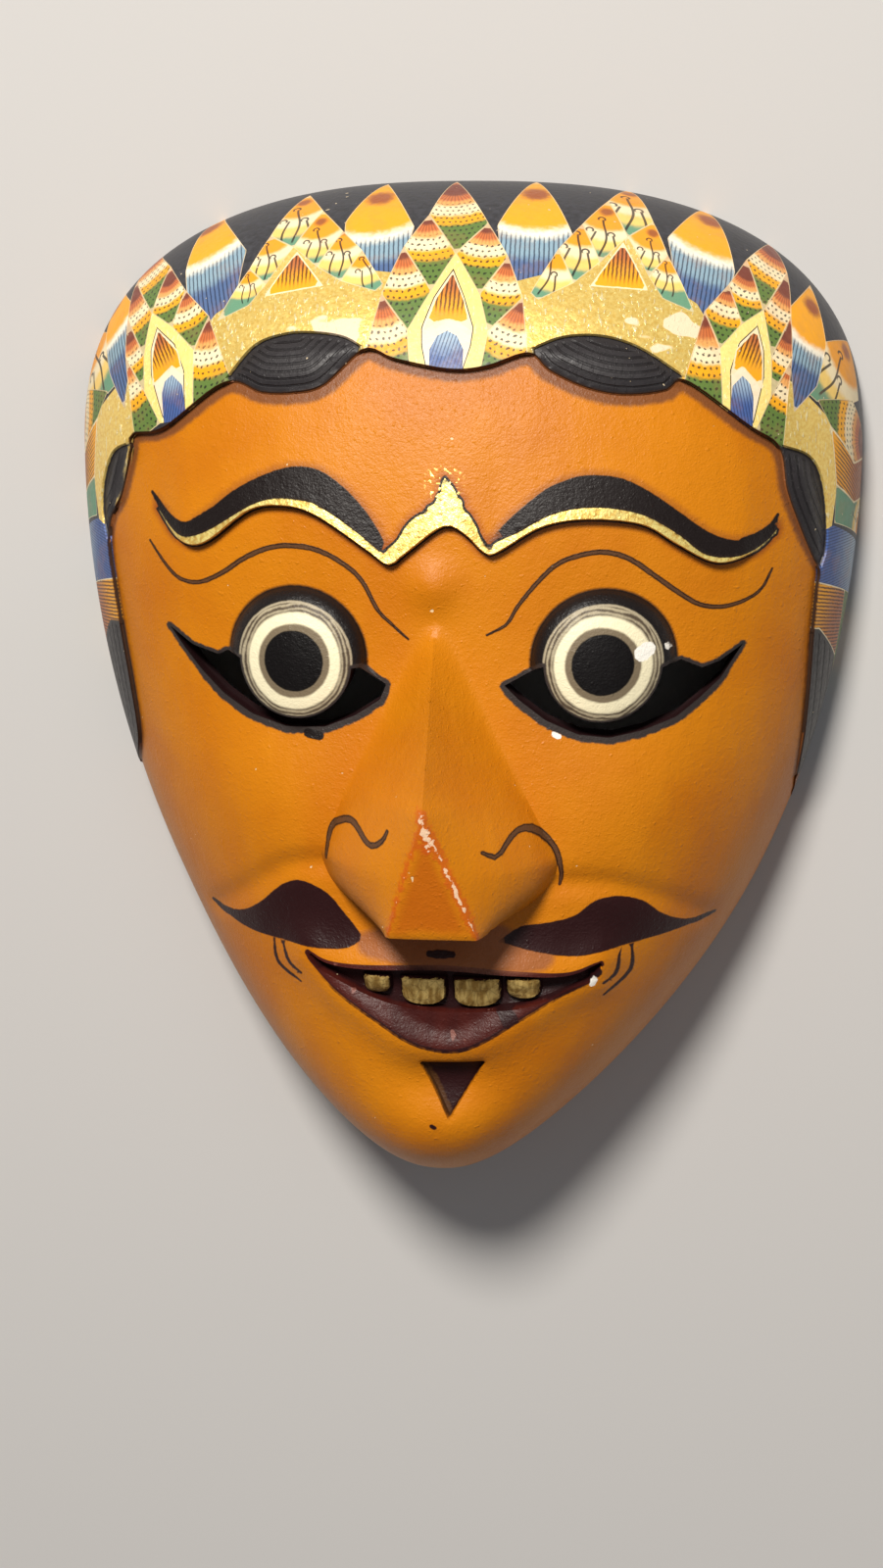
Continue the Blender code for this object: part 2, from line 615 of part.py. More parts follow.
def main():
    for old in list(bpy.data.objects):
        bpy.data.objects.remove(old, do_unlink=True)
    shell = build_shell()
    data = bpy.data.meshes.new("mask")
    shell.to_mesh(data)
    shell.free()
    data.materials.append(wood())
    mask = bpy.data.objects.new("mask", data)
    bpy.context.collection.objects.link(mask)
    data.shade_smooth()
    data.set_sharp_from_angle(angle=math.radians(SHARP_ANGLE))
    print("triangles:", len(data.polygons))


main()
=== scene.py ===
# %% [markdown]
# # A painted topeng dance mask
#
# The real thing is one block of light wood, carved hollow and painted: an orange face with round bulging
# eyes, a wedge nose and gilt teeth, under a headdress of painted feather and flower lozenges.
# It could be sculpted by hand in Blender. Here every height is a formula instead, so that each ridge and
# each painted edge has a size that can be read and changed.

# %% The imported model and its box
import math

import bmesh
import bpy
import numpy as np
from mathutils import Matrix, Vector
from mathutils.geometry import delaunay_2d_cdt


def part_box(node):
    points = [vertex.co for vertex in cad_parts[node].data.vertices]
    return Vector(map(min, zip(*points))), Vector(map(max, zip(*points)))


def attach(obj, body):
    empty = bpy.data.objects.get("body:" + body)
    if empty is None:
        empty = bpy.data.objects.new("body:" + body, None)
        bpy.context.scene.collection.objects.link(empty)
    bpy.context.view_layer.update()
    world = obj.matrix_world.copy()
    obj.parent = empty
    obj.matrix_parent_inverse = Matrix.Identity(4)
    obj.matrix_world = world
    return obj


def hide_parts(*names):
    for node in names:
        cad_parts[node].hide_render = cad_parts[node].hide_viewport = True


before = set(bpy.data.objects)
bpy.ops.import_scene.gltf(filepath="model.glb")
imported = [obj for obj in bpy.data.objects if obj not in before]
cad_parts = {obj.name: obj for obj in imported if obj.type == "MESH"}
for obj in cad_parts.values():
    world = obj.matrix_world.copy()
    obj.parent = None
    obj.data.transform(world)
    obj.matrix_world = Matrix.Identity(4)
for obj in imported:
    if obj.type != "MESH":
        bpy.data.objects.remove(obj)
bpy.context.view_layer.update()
box_low, box_high = (np.array(corner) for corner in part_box("mask"))
HALF_WIDTH, HALF_HEIGHT = (box_high - box_low)[:2] / 2
FACE_DEPTH = 0.054
WALL = 0.007
MM = 0.001
print("mask box", np.round((box_high - box_low) / MM, 1), "mm")

# %% [markdown]
# ## Lines and outlines
#
# A carver first draws on the block. The same drawing is kept here as short lists of points, given as shares
# of the mask's half width and half height. A Catmull-Rom curve runs smoothly through each list, and the
# distance from a point to a line then says where paint or carving begins.


# %% Curves and distances
def smooth(low, high, value):
    """A ramp from 0 at low to 1 at high: 3t^2 - 2t^3, level at both ends."""
    share = np.clip((value - low) / (high - low), 0.0, 1.0)
    return share * share * (3.0 - 2.0 * share)


def hill(distance, reach):
    """A round hill: e to the minus square of distance over reach."""
    return np.exp(-(distance / reach) ** 2)


def on_face(shares):
    """Shares of the half width and half height, as metres."""
    return np.asarray(shares, float) * (HALF_WIDTH, HALF_HEIGHT)


def resample(points, step, closed=False):
    """Points at equal steps along a polyline, by its running length."""
    line = np.vstack([points, points[:1]]) if closed else np.asarray(points, float)
    along = np.concatenate([[0.0], np.cumsum(np.linalg.norm(np.diff(line, axis=0), axis=1))])
    count = max(2, int(round(along[-1] / step)))
    places = np.linspace(0.0, along[-1], count + 1)
    places = places[:-1] if closed else places
    return np.column_stack([np.interp(places, along, line[:, k]) for k in (0, 1)])


def curve(points, step):
    """A Catmull-Rom curve: each span is a cubic through its two points and shaped by their neighbours."""
    points = np.asarray(points, float)
    ends = np.vstack([2 * points[0] - points[1], points, 2 * points[-1] - points[-2]])
    share = np.linspace(0.0, 1.0, 9)[:, None]
    spans = []
    for a, b, c, d in zip(ends[:-3], ends[1:-2], ends[2:-1], ends[3:]):
        spans.append(0.5 * (2 * b + (c - a) * share + (2 * a - 5 * b + 4 * c - d) * share ** 2
                            + (3 * b - a - 3 * c + d) * share ** 3))
    return resample(np.vstack(spans), step)


def drawn(shares, step=0.0012):
    """A smooth curve through points given as shares."""
    return curve(on_face(shares), step)


def offset(line, distance):
    """The line moved to its left, along the normal of its own direction."""
    along = np.gradient(line, axis=0)
    along /= np.linalg.norm(along, axis=1, keepdims=True)
    return line + distance * np.column_stack([-along[:, 1], along[:, 0]])


def side_distance(x, y, line):
    """Distance to the nearest point of an open line, positive on its left."""
    best = np.full(x.shape, np.inf)
    side = np.ones(x.shape)
    for (ax, ay), (dx, dy) in zip(line[:-1], np.diff(line, axis=0)):
        share = np.clip(((x - ax) * dx + (y - ay) * dy) / (dx * dx + dy * dy), 0.0, 1.0)
        gap = np.hypot(x - ax - share * dx, y - ay - share * dy)
        nearer = gap < best - 1e-9
        best = np.where(nearer, gap, best)
        side = np.where(nearer, np.sign(dx * (y - ay) - dy * (x - ax)), side)
    return best * np.where(side == 0, 1.0, side)


def inside(x, y, outline):
    """True inside a closed outline, where a level ray crosses it an odd number of times."""
    result = np.zeros(x.shape, bool)
    for (ax, ay), (bx, by) in zip(outline, np.roll(outline, -1, axis=0)):
        if ay != by:
            result ^= ((ay > y) != (by > y)) & (x < ax + (y - ay) * (bx - ax) / (by - ay))
    return result


def depth_inside(x, y, outline):
    """Distance to a closed outline, positive inside it."""
    gap = np.abs(side_distance(x, y, np.vstack([outline, outline[:1]])))
    return np.where(inside(x, y, outline), gap, -gap)


# %% [markdown]
# ## The drawing
#
# Brows, eyelids, moustache, lips and hairline, each read once and used for both the carving and the paint.

# %% Outlines of the face
BROW_TOP_L = [(-.727, .403), (-.655, .354), (-.599, .378), (-.515, .429), (-.434, .462), (-.361, .478),
              (-.294, .470), (-.226, .432), (-.175, .387), (-.142, .345)]
GOLD_TOP_L = [(-.719, .381), (-.671, .343), (-.628, .338), (-.569, .357), (-.470, .403), (-.411, .418),
              (-.348, .417), (-.303, .408), (-.224, .370), (-.149, .325)]
ORNAMENT = [(-.140, .329), (-.113, .346), (-.093, .372), (-.073, .388), (-.049, .399), (-.043, .397),
            (-.041, .409), (-.024, .415), (-.021, .413), (-.022, .427), (-.009, .434), (-.011, .446),
            (-.002, .462), (.012, .448), (.027, .436), (.019, .429), (.034, .426), (.042, .416),
            (.037, .405), (.052, .400), (.061, .388), (.071, .378), (.079, .360), (.093, .342), (.108, .331)]
BROW_TOP_R = [(.103, .348), (.143, .384), (.222, .437), (.273, .457), (.325, .467), (.402, .462),
              (.470, .437), (.535, .402), (.613, .358), (.678, .340), (.737, .348), (.777, .367)]
GOLD_TOP_R = [(.115, .344), (.171, .365), (.239, .394), (.306, .407), (.378, .407), (.460, .393),
              (.536, .359), (.603, .318), (.668, .309), (.722, .319), (.773, .345)]
BROW_EDGE = [(-.723, .384), (-.676, .337), (-.629, .321), (-.576, .334), (-.471, .394), (-.382, .404),
             (-.304, .387), (-.186, .328), (-.134, .301), (-.095, .321), (-.005, .373), (.046, .359),
             (.087, .328), (.119, .325), (.222, .372), (.328, .386), (.455, .375), (.535, .338),
             (.614, .303), (.668, .300), (.738, .321), (.775, .353)]
LID_LINES = [[(-.748, .321), (-.707, .281), (-.666, .254), (-.612, .250), (-.548, .272), (-.494, .301),
              (-.429, .324), (-.363, .330), (-.301, .322), (-.239, .297), (-.198, .267), (-.163, .216),
              (-.128, .189), (-.089, .162)],
             [(.097, .172), (.143, .192), (.166, .222), (.211, .267), (.263, .305), (.327, .322),
              (.379, .324), (.431, .310), (.485, .280), (.538, .249), (.591, .222), (.644, .214),
              (.697, .222), (.741, .242), (.766, .279)]]
NOSTRIL_CURLS = [[(-.289, -.257), (-.277, -.199), (-.248, -.178), (-.216, -.170), (-.192, -.183),
                  (-.169, -.199), (-.150, -.199), (-.129, -.186), (-.117, -.167)],
                 [(.103, -.205), (.131, -.218), (.145, -.211), (.161, -.193), (.181, -.181), (.209, -.186),
                  (.242, -.209), (.266, -.237), (.277, -.280), (.273, -.304)]]
MOUSTACHE = [[(-.615, -.407), (-.539, -.403), (-.476, -.374), (-.413, -.328), (-.365, -.311),
              (-.318, -.320), (-.283, -.336), (-.250, -.366), (-.222, -.392), (-.205, -.414),
              (-.235, -.434), (-.296, -.441), (-.379, -.439), (-.481, -.439), (-.554, -.427)],
             [(.128, -.412), (.180, -.384), (.240, -.378), (.309, -.366), (.357, -.339), (.415, -.334),
              (.474, -.351), (.517, -.382), (.577, -.409), (.643, -.418), (.534, -.428), (.410, -.437),
              (.310, -.446), (.216, -.433)]]
SMILE_LINES = [[(-.436, -.444), (-.428, -.491), (-.366, -.520)],
               [(-.410, -.447), (-.396, -.483), (-.363, -.499)],
               [(.447, -.441), (.443, -.492), (.380, -.535)], [(.417, -.453), (.410, -.490), (.380, -.507)]]
# Each mark is a line and half its breadth in metres.
BRUSH_MARKS = [([(-.738, .414), (-.700, .378), (-.665, .360), (-.636, .359), (-.606, .372), (-.575, .390)],
                .00070),
               ([(.776, .380), (.760, .360), (.727, .346), (.690, .340)], .00055),
               ([(-.334, -.022), (-.306, -.026)], .0010), ([(-.037, -.436), (.020, -.436)], .0008),
               ([(-.037, -.793), (-.030, -.796)], .0005),
               ([(-.620, -.404), (-.580, -.416), (-.540, -.412)], .0007),
               ([(.648, -.416), (.600, -.419), (.560, -.416)], .0006),
               ([(.350, -.474), (.364, -.482)], .0011)]
# White marks, each a line and half its breadth in metres: a spot at the mouth's corner, chips on and under
# the right eye, and one painted highlight, the glint at (.520, .151) right of the right eyeball.
WHITE_SPOTS_AND_GLINT = [([(.358, -.494), (.354, -.505)], .0006), ([(.462, .140), (.474, .147)], .0014),
              ([(.520, .151), (.523, .147)], .0006), ([(.622, .076), (.632, .083)], .0005),
              ([(.255, -.015), (.268, -.019)], .0005)]
UPPER_LIP = [(-.342, -.451), (-.296, -.470), (-.206, -.475), (-.008, -.469), (.159, -.479),
             (.294, -.485), (.375, -.464)]
LOWER_LIP = [(.359, -.499), (.276, -.523), (.178, -.567), (.077, -.615), (.008, -.630), (-.078, -.615),
             (-.163, -.575), (-.269, -.521), (-.342, -.465)]
GAP_FLOOR = [(.343, -.498), (.231, -.531), (.135, -.547), (.003, -.550), (-.105, -.543), (-.198, -.521),
             (-.303, -.482)]
# Each tooth: its left side, its right side and its lower edge.
TEETH = [(-.201, -.134, -.524), (-.108, .001, -.544), (.020, .134, -.546), (.148, .229, -.530)]
TOOTH_TOP = -.486
GOATEE = [(-.064, -.659), (.098, -.655), (.006, -.777)]
HAIRLINE = [(-.852, -.160), (-.820, -.086), (-.828, .018), (-.846, .117), (-.864, .214), (-.879, .300),
            (-.868, .355), (-.831, .400), (-.800, .481), (-.792, .520), (-.700, .537), (-.540, .625),
            (-.449, .610), (-.371, .610), (-.295, .625), (-.202, .689), (-.133, .674), (-.040, .659),
            (.027, .654), (.097, .662), (.187, .684), (.234, .654), (.325, .622), (.416, .610),
            (.506, .617), (.551, .633), (.698, .550), (.775, .506), (.797, .426), (.831, .355),
            (.865, .293), (.884, .262), (.880, .229), (.873, .132), (.869, .031), (.862, -.077),
            (.850, -.165)]
LENS_ARCHES = [[(-.800, .505), (-.855, .482), (-.890, .420), (-.896, .355), (-.880, .305)],
               [(-.536, .632), (-.469, .693), (-.397, .715), (-.327, .719), (-.253, .712), (-.205, .694)],
               [(.190, .691), (.265, .713), (.358, .714), (.447, .691), (.548, .640)],
               [(.778, .510), (.846, .488), (.880, .446), (.897, .377), (.900, .308), (.887, .270)]]
CHEEK_FOLDS = [[(-.292, -.270), (-.390, -.285), (-.500, -.345), (-.600, -.405)],
               [(.275, -.300), (.400, -.310), (.520, -.352), (.630, -.412)]]
EYES = [{"centre": (-.361, .120),
         "lower": [(-2.42, .36), (-2.12, -.01), (-1.80, -.36), (-1.38, -.73), (-.84, -1.04),
                   (-.20, -1.21), (.49, -1.18), (1.02, -.96), (1.46, -.67), (1.57, -.40)],
         "outer": [(-1.96, .07), (-1.46, -.06), (-1.28, .04)], "inner": [(1.14, -.10)]},
        {"centre": (.371, .121),
         "lower": [(-1.67, -.40), (-1.42, -.65), (-.97, -1.00), (-.42, -1.25), (.11, -1.32),
                   (.66, -1.22), (1.24, -1.02), (1.62, -.73), (1.99, -.40), (2.36, .17)],
         "outer": [(1.96, -.10), (1.67, -.19), (1.30, -.02)], "inner": [(-1.20, -.14)]}]
EYE_RADIUS = 0.0104
EYE_RING = 1.20
STEP = 0.0003
print("drawn:", len(EYES), "eyes,", len(TEETH), "teeth,", len(LENS_ARCHES), "lobes of hair")

# %% [markdown]
# ## The carved surface
#
# The head is a dome: an arched profile from chin to crown, with arched cross sections. Brows, sockets,
# nose, lips and headdress are heights added to it. A heightfield suits this carving, because a mask
# has no undercuts that show from the front.


# %% The plain dome
TEMPLE_HEIGHT = 0.0445
CHIN_LEAN = 0.003


def half_breadth(y, inset):
    """Half the plan's breadth: a superellipse of power 2.5 above the temples, (1 - t^2)^0.66 below."""
    rise = HALF_HEIGHT - inset - TEMPLE_HEIGHT
    drop = HALF_HEIGHT - inset + TEMPLE_HEIGHT
    above = np.clip(1 - np.abs((y - TEMPLE_HEIGHT) / rise) ** 2.5, 0, 1) ** 0.4
    below = np.clip(1 - ((TEMPLE_HEIGHT - y) / drop) ** 2, 0, 1) ** 0.66
    return (HALF_WIDTH - inset) * np.where(y > TEMPLE_HEIGHT, above, below)


def lean(y):
    """The chin leans a little to one side, on a smooth ramp below the nose."""
    return -CHIN_LEAN * smooth(-0.35, -1.0, y / HALF_HEIGHT)


def dome(x, y, inset):
    """Height = depth times the profile's arch times the section's arch, both roots of 1 - t^n."""
    share = np.abs(y) / (HALF_HEIGHT - inset)
    profile = np.sqrt(np.clip(1 - share ** np.where(y > 0, 3.6, 8.0), 0, 1))
    across = np.abs(x - lean(y)) / np.maximum(half_breadth(y, inset), 1e-9)
    return (FACE_DEPTH - inset) * profile * np.sqrt(np.clip(1 - across ** 2.3, 0, 1))


def plan_outline(inset, count):
    """The plan as a loop of evenly spaced points, anticlockwise from the chin."""
    turn = np.linspace(-0.5 * math.pi, 1.5 * math.pi, 4000, endpoint=False)
    rise = np.abs(np.sin(turn))
    high = TEMPLE_HEIGHT + (HALF_HEIGHT - inset - TEMPLE_HEIGHT) * rise ** 0.8
    low = TEMPLE_HEIGHT - (HALF_HEIGHT - inset + TEMPLE_HEIGHT) * rise
    y = np.where(np.sin(turn) > 0, high, low)
    x = half_breadth(y, inset) * np.where(np.cos(turn) < 0, -1.0, 1.0)
    loop = np.column_stack([x + lean(y), y])
    length = np.linalg.norm(np.diff(np.vstack([loop, loop[:1]]), axis=0), axis=1).sum()
    return resample(loop, length / count, closed=True)


# %% The nose and the mouth
BRIDGE, TIP, BASE = (on_face(p) for p in ((-.027, .190), (-.027, -.124), (-.010, -.362)))
WING_Y = -.250 * HALF_HEIGHT
WING_HALF = 0.0210
RIDGE, DROOP = 0.0215, 0.0045
FACET_HALF = 0.0080
FOOT = 0.0016


def nose_line(y):
    """Where the ridge runs across the face: straight from bridge to tip, and from tip to base."""
    return np.interp(-y, [-BRIDGE[1], -TIP[1], -BASE[1]], [BRIDGE[0], TIP[0], BASE[0]])


def nose_half(y):
    """Half breadth: a straight widening to the wings, then the end of an ellipse."""
    widening = WING_HALF * (0.10 + 0.90 * np.clip((BRIDGE[1] - y) / (BRIDGE[1] - WING_Y), 0, 1))
    closing = WING_HALF * np.sqrt(np.clip(1 - ((WING_Y - y) / (1.22 * (WING_Y - BASE[1]))) ** 2, 0, 1))
    return np.where(y > WING_Y, widening, closing)


def nose_height(x, y):
    """A wedge: a ridge that climbs to the tip, a flat facet below it, and sides that fall as a power."""
    down = np.clip((TIP[1] - y) / (TIP[1] - BASE[1]), 0, 1)
    ridge = RIDGE * np.clip((BRIDGE[1] - y) / (BRIDGE[1] - TIP[1]), 0, 1) ** 1.1 - DROOP * down
    flat = FACET_HALF * down
    half = np.maximum(nose_half(y), 1e-6)
    out = np.clip((np.abs(x - nose_line(y)) - flat) / np.maximum(half - flat, 1e-6), 0, 1)
    wing = (1 - out) ** (1.45 - 0.75 * smooth(-0.3 * BRIDGE[1], -WING_Y, -y))
    underside = smooth(BASE[1] - FOOT, BASE[1], y)
    return np.where(np.abs(x - nose_line(y)) < half, ridge * wing * underside, 0)


def tooth_outline(left, right, bottom, grow=0.0):
    """A square tooth with its two lower corners rounded off."""
    low_left, top_right = on_face((left, bottom)), on_face((right, TOOTH_TOP))
    corners = [(1, 1), (-1, 1), (-1, -.4), (-.8, -.75), (-.45, -.95), (0, -1), (.45, -.95), (.8, -.75),
               (1, -.4)]
    return (low_left + top_right) / 2 + np.array(corners) * ((top_right - low_left) / 2 + grow)


LIP_RISE, LIP_SINK, LIP_REACH = 0.0022, 0.0018, 0.0045
GAP_SINK = 0.0026
TOOTH_RISE, TOOTH_CROWN, TOOTH_ROUND = 0.0020, 0.0006, 0.0018
CHIN_SINK, CHIN_HOLLOW_Y, CHIN_REACH = 0.0022, 0.700, 0.0060


def mouth_height(x, y):
    """A hill around the lips, a hollow under them, a sunk gap, and crowned teeth standing in it."""
    lips = drawn(UPPER_LIP)
    mouth = np.vstack([lips, drawn(LOWER_LIP)])
    gap = np.vstack([lips, drawn(GAP_FLOOR)])
    in_mouth = depth_inside(x, y, mouth)
    height = LIP_RISE * hill(np.minimum(in_mouth, 0), LIP_REACH) - LIP_SINK * smooth(0, LIP_REACH, in_mouth)
    height -= CHIN_SINK * hill(np.hypot(x / 1.6, y + CHIN_HOLLOW_Y * HALF_HEIGHT), CHIN_REACH)
    height -= GAP_SINK * smooth(-STEP, STEP, depth_inside(x, y, gap))
    for left, right, bottom in TEETH:
        within = depth_inside(x, y, tooth_outline(left, right, bottom))
        height += TOOTH_RISE * smooth(-STEP, STEP, within) + TOOTH_CROWN * smooth(0, TOOTH_ROUND, within)
    return height


# %% Brows, sockets, eyeballs, cheeks and headdress
HEADDRESS_RISE = 0.0018
LOBE_SWELL, LOBE_REACH, LOBE_SINK = 0.0012, 0.0035, 0.0011
BROW_RISE, BROW_FADE, BROW_END = 0.0020, 0.0110, 0.008
SOCKET_SINK = 0.0016
COLLAR_RISE, BALL_RISE = 0.0009, 0.0044
FOLD_SINK, FOLD_REACH = 0.0010, 0.0024
GOATEE_SINK = 0.0016
EDGE_FADE = 0.012
hair_edge = drawn(HAIRLINE)
brow_edge = drawn(BROW_EDGE)
eye_places = [on_face(eye["centre"]) for eye in EYES]


def lens_outline(arch):
    """The lobe between an arch and the stretch of hairline under it."""
    ends = [int(np.argmin(np.hypot(*(hair_edge - end).T))) for end in (arch[0], arch[-1])]
    return np.vstack([arch, hair_edge[min(ends) + 1:max(ends)][::-1]])


lenses = [lens_outline(drawn(arch)) for arch in LENS_ARCHES]


def headdress(x, y):
    """The raised ground above the hairline, with sunk lobes of hair that swell again."""
    height = HEADDRESS_RISE * smooth(-STEP, STEP, side_distance(x, y, hair_edge))
    for lens in lenses:
        within = depth_inside(x, y, lens)
        height += LOBE_SWELL * smooth(0, LOBE_REACH, within) - LOBE_SINK * smooth(-STEP, STEP, within)
    return height


# Centre, breadth, height and reach of the swellings: between the brows, on each cheek and at the chin.
ROUNDINGS = [((-.030, .262), 1.0, 0.0016, 0.0042), ((-.44, -.16), 1.0, 0.0020, 0.0160),
             ((.44, -.16), 1.0, 0.0020, 0.0160), ((-.010, -.860), 1.2, 0.0032, 0.0120)]


def relief(x, y):
    """The sum of all the carving above the plain dome."""
    above = side_distance(x, y, brow_edge)
    left, right = brow_edge[0][0], brow_edge[-1][0]
    ends = smooth(left, left + BROW_END, x) * smooth(-right, -right + BROW_END, -x)
    height = BROW_RISE * smooth(-STEP, STEP, above) * np.exp(-np.abs(above) / BROW_FADE) * ends
    for cx, cy in eye_places:
        away = np.hypot(x - cx, (y - cy) * 1.15)
        height -= SOCKET_SINK * hill(away, 2.0 * EYE_RADIUS) * smooth(STEP, -STEP, above)
        from_centre = np.hypot(x - cx, y - cy)
        ring = EYE_RING * EYE_RADIUS
        height += COLLAR_RISE * smooth(ring + STEP, ring - STEP, from_centre)
        height += BALL_RISE * np.clip(1 - (from_centre / ring) ** 2, 0, 1) ** 0.6
    for (cx, cy), wide, rise, reach in ROUNDINGS:
        height += rise * hill(np.hypot((x - cx * HALF_WIDTH) / wide, y - cy * HALF_HEIGHT), reach)
    for fold in CHEEK_FOLDS:
        height -= FOLD_SINK * hill(np.abs(side_distance(x, y, drawn(fold))), FOLD_REACH)
    height += nose_height(x, y) + mouth_height(x, y)
    height -= GOATEE_SINK * smooth(-STEP, STEP, depth_inside(x, y, on_face(GOATEE)))
    return height + headdress(x, y)


def front_height(x, y):
    """Dome plus relief, where the relief fades out in the last millimetres of the edge."""
    plain = dome(x, y, 0.0)
    return plain + relief(x, y) * smooth(0.0, EDGE_FADE, plain)


POCKET, POCKET_REACH = 0.0080, 0.0140


def back_height(x, y):
    """The hollow: the dome less the wall, with a pocket for the wearer's nose."""
    pocket = POCKET * hill(np.hypot((x + .020 * HALF_WIDTH) / 0.75, y + .160 * HALF_HEIGHT), POCKET_REACH)
    plain = dome(x, y, WALL)
    return plain + pocket * smooth(0.0, EDGE_FADE, plain)


# %% [markdown]
# ## Unrolling the dome
#
# The wall of the dome is almost upright, so an even grid over the plan would leave it bare. A leather worker
# would peel the cover off and lay it flat. The same is done here: each point keeps its direction from the
# middle, and its distance grows with the drop from the top. An even triangle mesh is made on that flat sheet,
# with every carved and painted edge as a mesh edge, and is then rolled back onto the wood.


# %% The flat sheet
UNROLL = 1.84
SHEET_REACH = 0.125
HALVINGS = 46


def unroll(points, inset=0.0):
    """Flat distance = root of (plan distance squared + 1.84 times the drop squared)."""
    x, y = points.T
    reach = np.hypot(x, y)
    drop = FACE_DEPTH - inset - dome(x, y, inset)
    return points * (np.sqrt(reach ** 2 + UNROLL * drop ** 2) / np.maximum(reach, 1e-9))[:, None]


def roll(flat, inset=0.0):
    """The plan point of a flat point, found by halving the range of its plan distance."""
    length = np.maximum(np.hypot(*flat.T), 1e-9)
    heading = flat / length[:, None]
    low, high = np.zeros(len(flat)), length.copy()
    for _ in range(HALVINGS):
        middle = (low + high) / 2
        x, y = (heading * middle[:, None]).T
        drop = FACE_DEPTH - inset - dome(x, y, inset)
        short = middle ** 2 + UNROLL * drop ** 2 < length ** 2
        low, high = np.where(short, middle, low), np.where(short, high, middle)
    return heading * ((low + high) / 2)[:, None]


def flat_line(plan_line, step):
    """A line of the plan, laid on the sheet at even steps."""
    return resample(unroll(resample(plan_line, STEP)), step)


def even_points(step, outline):
    """A staggered grid inside an outline, each other row moved by half a step."""
    rows = np.arange(-SHEET_REACH, SHEET_REACH, step * 0.87)
    x, y = np.meshgrid(np.arange(-SHEET_REACH, SHEET_REACH, step), rows)
    x = x + (np.arange(len(rows)) % 2)[:, None] * step / 2
    points = np.column_stack([x.ravel(), y.ravel()])
    return points[inside(points[:, 0], points[:, 1], outline)]


def clear_of(points, taken, gap):
    """Points whose square cell of the given size, and its neighbours, hold none of the taken ones."""
    half = 1.2 * SHEET_REACH
    size = int(2 * half / gap)
    used = np.zeros((size, size), bool)
    row, column = ((taken + half) / gap).astype(int).T
    for across in (-1, 0, 1):
        for up in (-1, 0, 1):
            used[row + across, column + up] = True
    row, column = ((points + half) / gap).astype(int).T
    return points[~used[row, column]]


def sheet_mesh(loops, lines, points, holes=0):
    """A constrained Delaunay mesh: every loop and line becomes edges. The first loop bounds it and the
    next ones are holes. Gives points, triangles and the point numbers of those loops."""
    plan, edges, rings = [], [], []
    for line in loops + lines:
        first = sum(len(part) for part in plan)
        closed = len(plan) < len(loops)
        numbers = np.arange(len(line))
        ends = np.column_stack([numbers, np.roll(numbers, -1)]) + first
        edges += (ends if closed else ends[:-1]).tolist()
        rings.append(numbers + first)
        plan.append(line)
    flat = np.vstack(plan + [points]) / MM
    verts, _, faces, origins, _, _ = delaunay_2d_cdt([Vector(p) for p in flat.tolist()], edges, [], 0, 1e-5)
    verts = np.array([tuple(v) for v in verts]) * MM
    faces = np.array([f for f in faces if len(f) == 3])
    number = np.zeros(len(flat), int)
    for new, olds in enumerate(origins):
        number[olds] = new
    middle = verts[faces].mean(axis=1)
    keep = inside(middle[:, 0], middle[:, 1], loops[0])
    for hole in loops[1:1 + holes]:
        keep &= ~inside(middle[:, 0], middle[:, 1], hole)
    used, faces = np.unique(faces[keep], return_inverse=True)
    renumber = np.full(len(verts), -1)
    renumber[used] = np.arange(len(used))
    return verts[used], faces.reshape(-1, 3), [renumber[number[ring]] for ring in rings[:1 + holes]]


# %% [markdown]
# ## The face, the hollow and the rim
#
# One closed piece: the orange face, a plain ground under the headdress, the hollow behind, the flat rim it
# lies on and the walls of the two sight slits. The face gets a mesh of 0.8 mm, the parts that nobody
# looks at closely a coarser one.

# %% Lines the face mesh follows
FINE = 0.0008
LINE_STEP, CELL_STEP = 0.0006, 0.0007
CLEARANCE = 0.00036
hair_cut = np.vstack([on_face([(-1.0, -.200), (-.900, -.168)]), hair_edge,
                      on_face([(.900, -.172), (1.0, -.205)])])


def slit_outline(eye):
    """The sight slit: along the lower lid, then back along the upper lid and round under the eyeball."""
    turn = np.radians(np.linspace(-178, -6, 41))
    under = list(zip(np.cos(turn), np.sin(turn)))
    lower = list(map(tuple, resample(np.array(eye["lower"]), 0.07)))
    if eye["outer"][0][0] < 0:
        upper = eye["inner"] + under[::-1] + eye["outer"][::-1]
    else:
        upper = eye["outer"] + under[::-1] + eye["inner"]
    return on_face(eye["centre"]) + EYE_RADIUS * np.array(lower + upper)


def closed(outline):
    """An outline with its first point again at the end."""
    return np.vstack([outline, outline[:1]])


slits = [slit_outline(eye) for eye in EYES]
brow_black = [np.vstack([drawn(BROW_TOP_L), drawn(GOLD_TOP_L)[::-1]]),
              np.vstack([drawn(BROW_TOP_R), drawn(GOLD_TOP_R)[::-1]])]
gilt = np.vstack([drawn(GOLD_TOP_L + ORNAMENT + GOLD_TOP_R), brow_edge[::-1]])
moustache = [drawn(part + part[:1])[:-1] for part in MOUSTACHE]
lips = np.vstack([drawn(UPPER_LIP), drawn(LOWER_LIP)])
gap = np.vstack([drawn(UPPER_LIP), drawn(GAP_FLOOR)])
goatee = on_face(GOATEE)
LID_HALF, CURL_HALF, SMILE_HALF = 0.00052, 0.00062, 0.00042
strokes = [(drawn(line), LID_HALF) for line in LID_LINES]
strokes += [(drawn(line), CURL_HALF) for line in NOSTRIL_CURLS]
fine_lines = len(strokes)
strokes += [(drawn(line), half) for line, half in BRUSH_MARKS]
strokes += [(drawn(line), SMILE_HALF) for line in SMILE_LINES + [LOWER_LIP]]


EITHER_SIDE_GOATEE, EITHER_SIDE_WING = (0.92, 1.05), (0.97, 1.02)


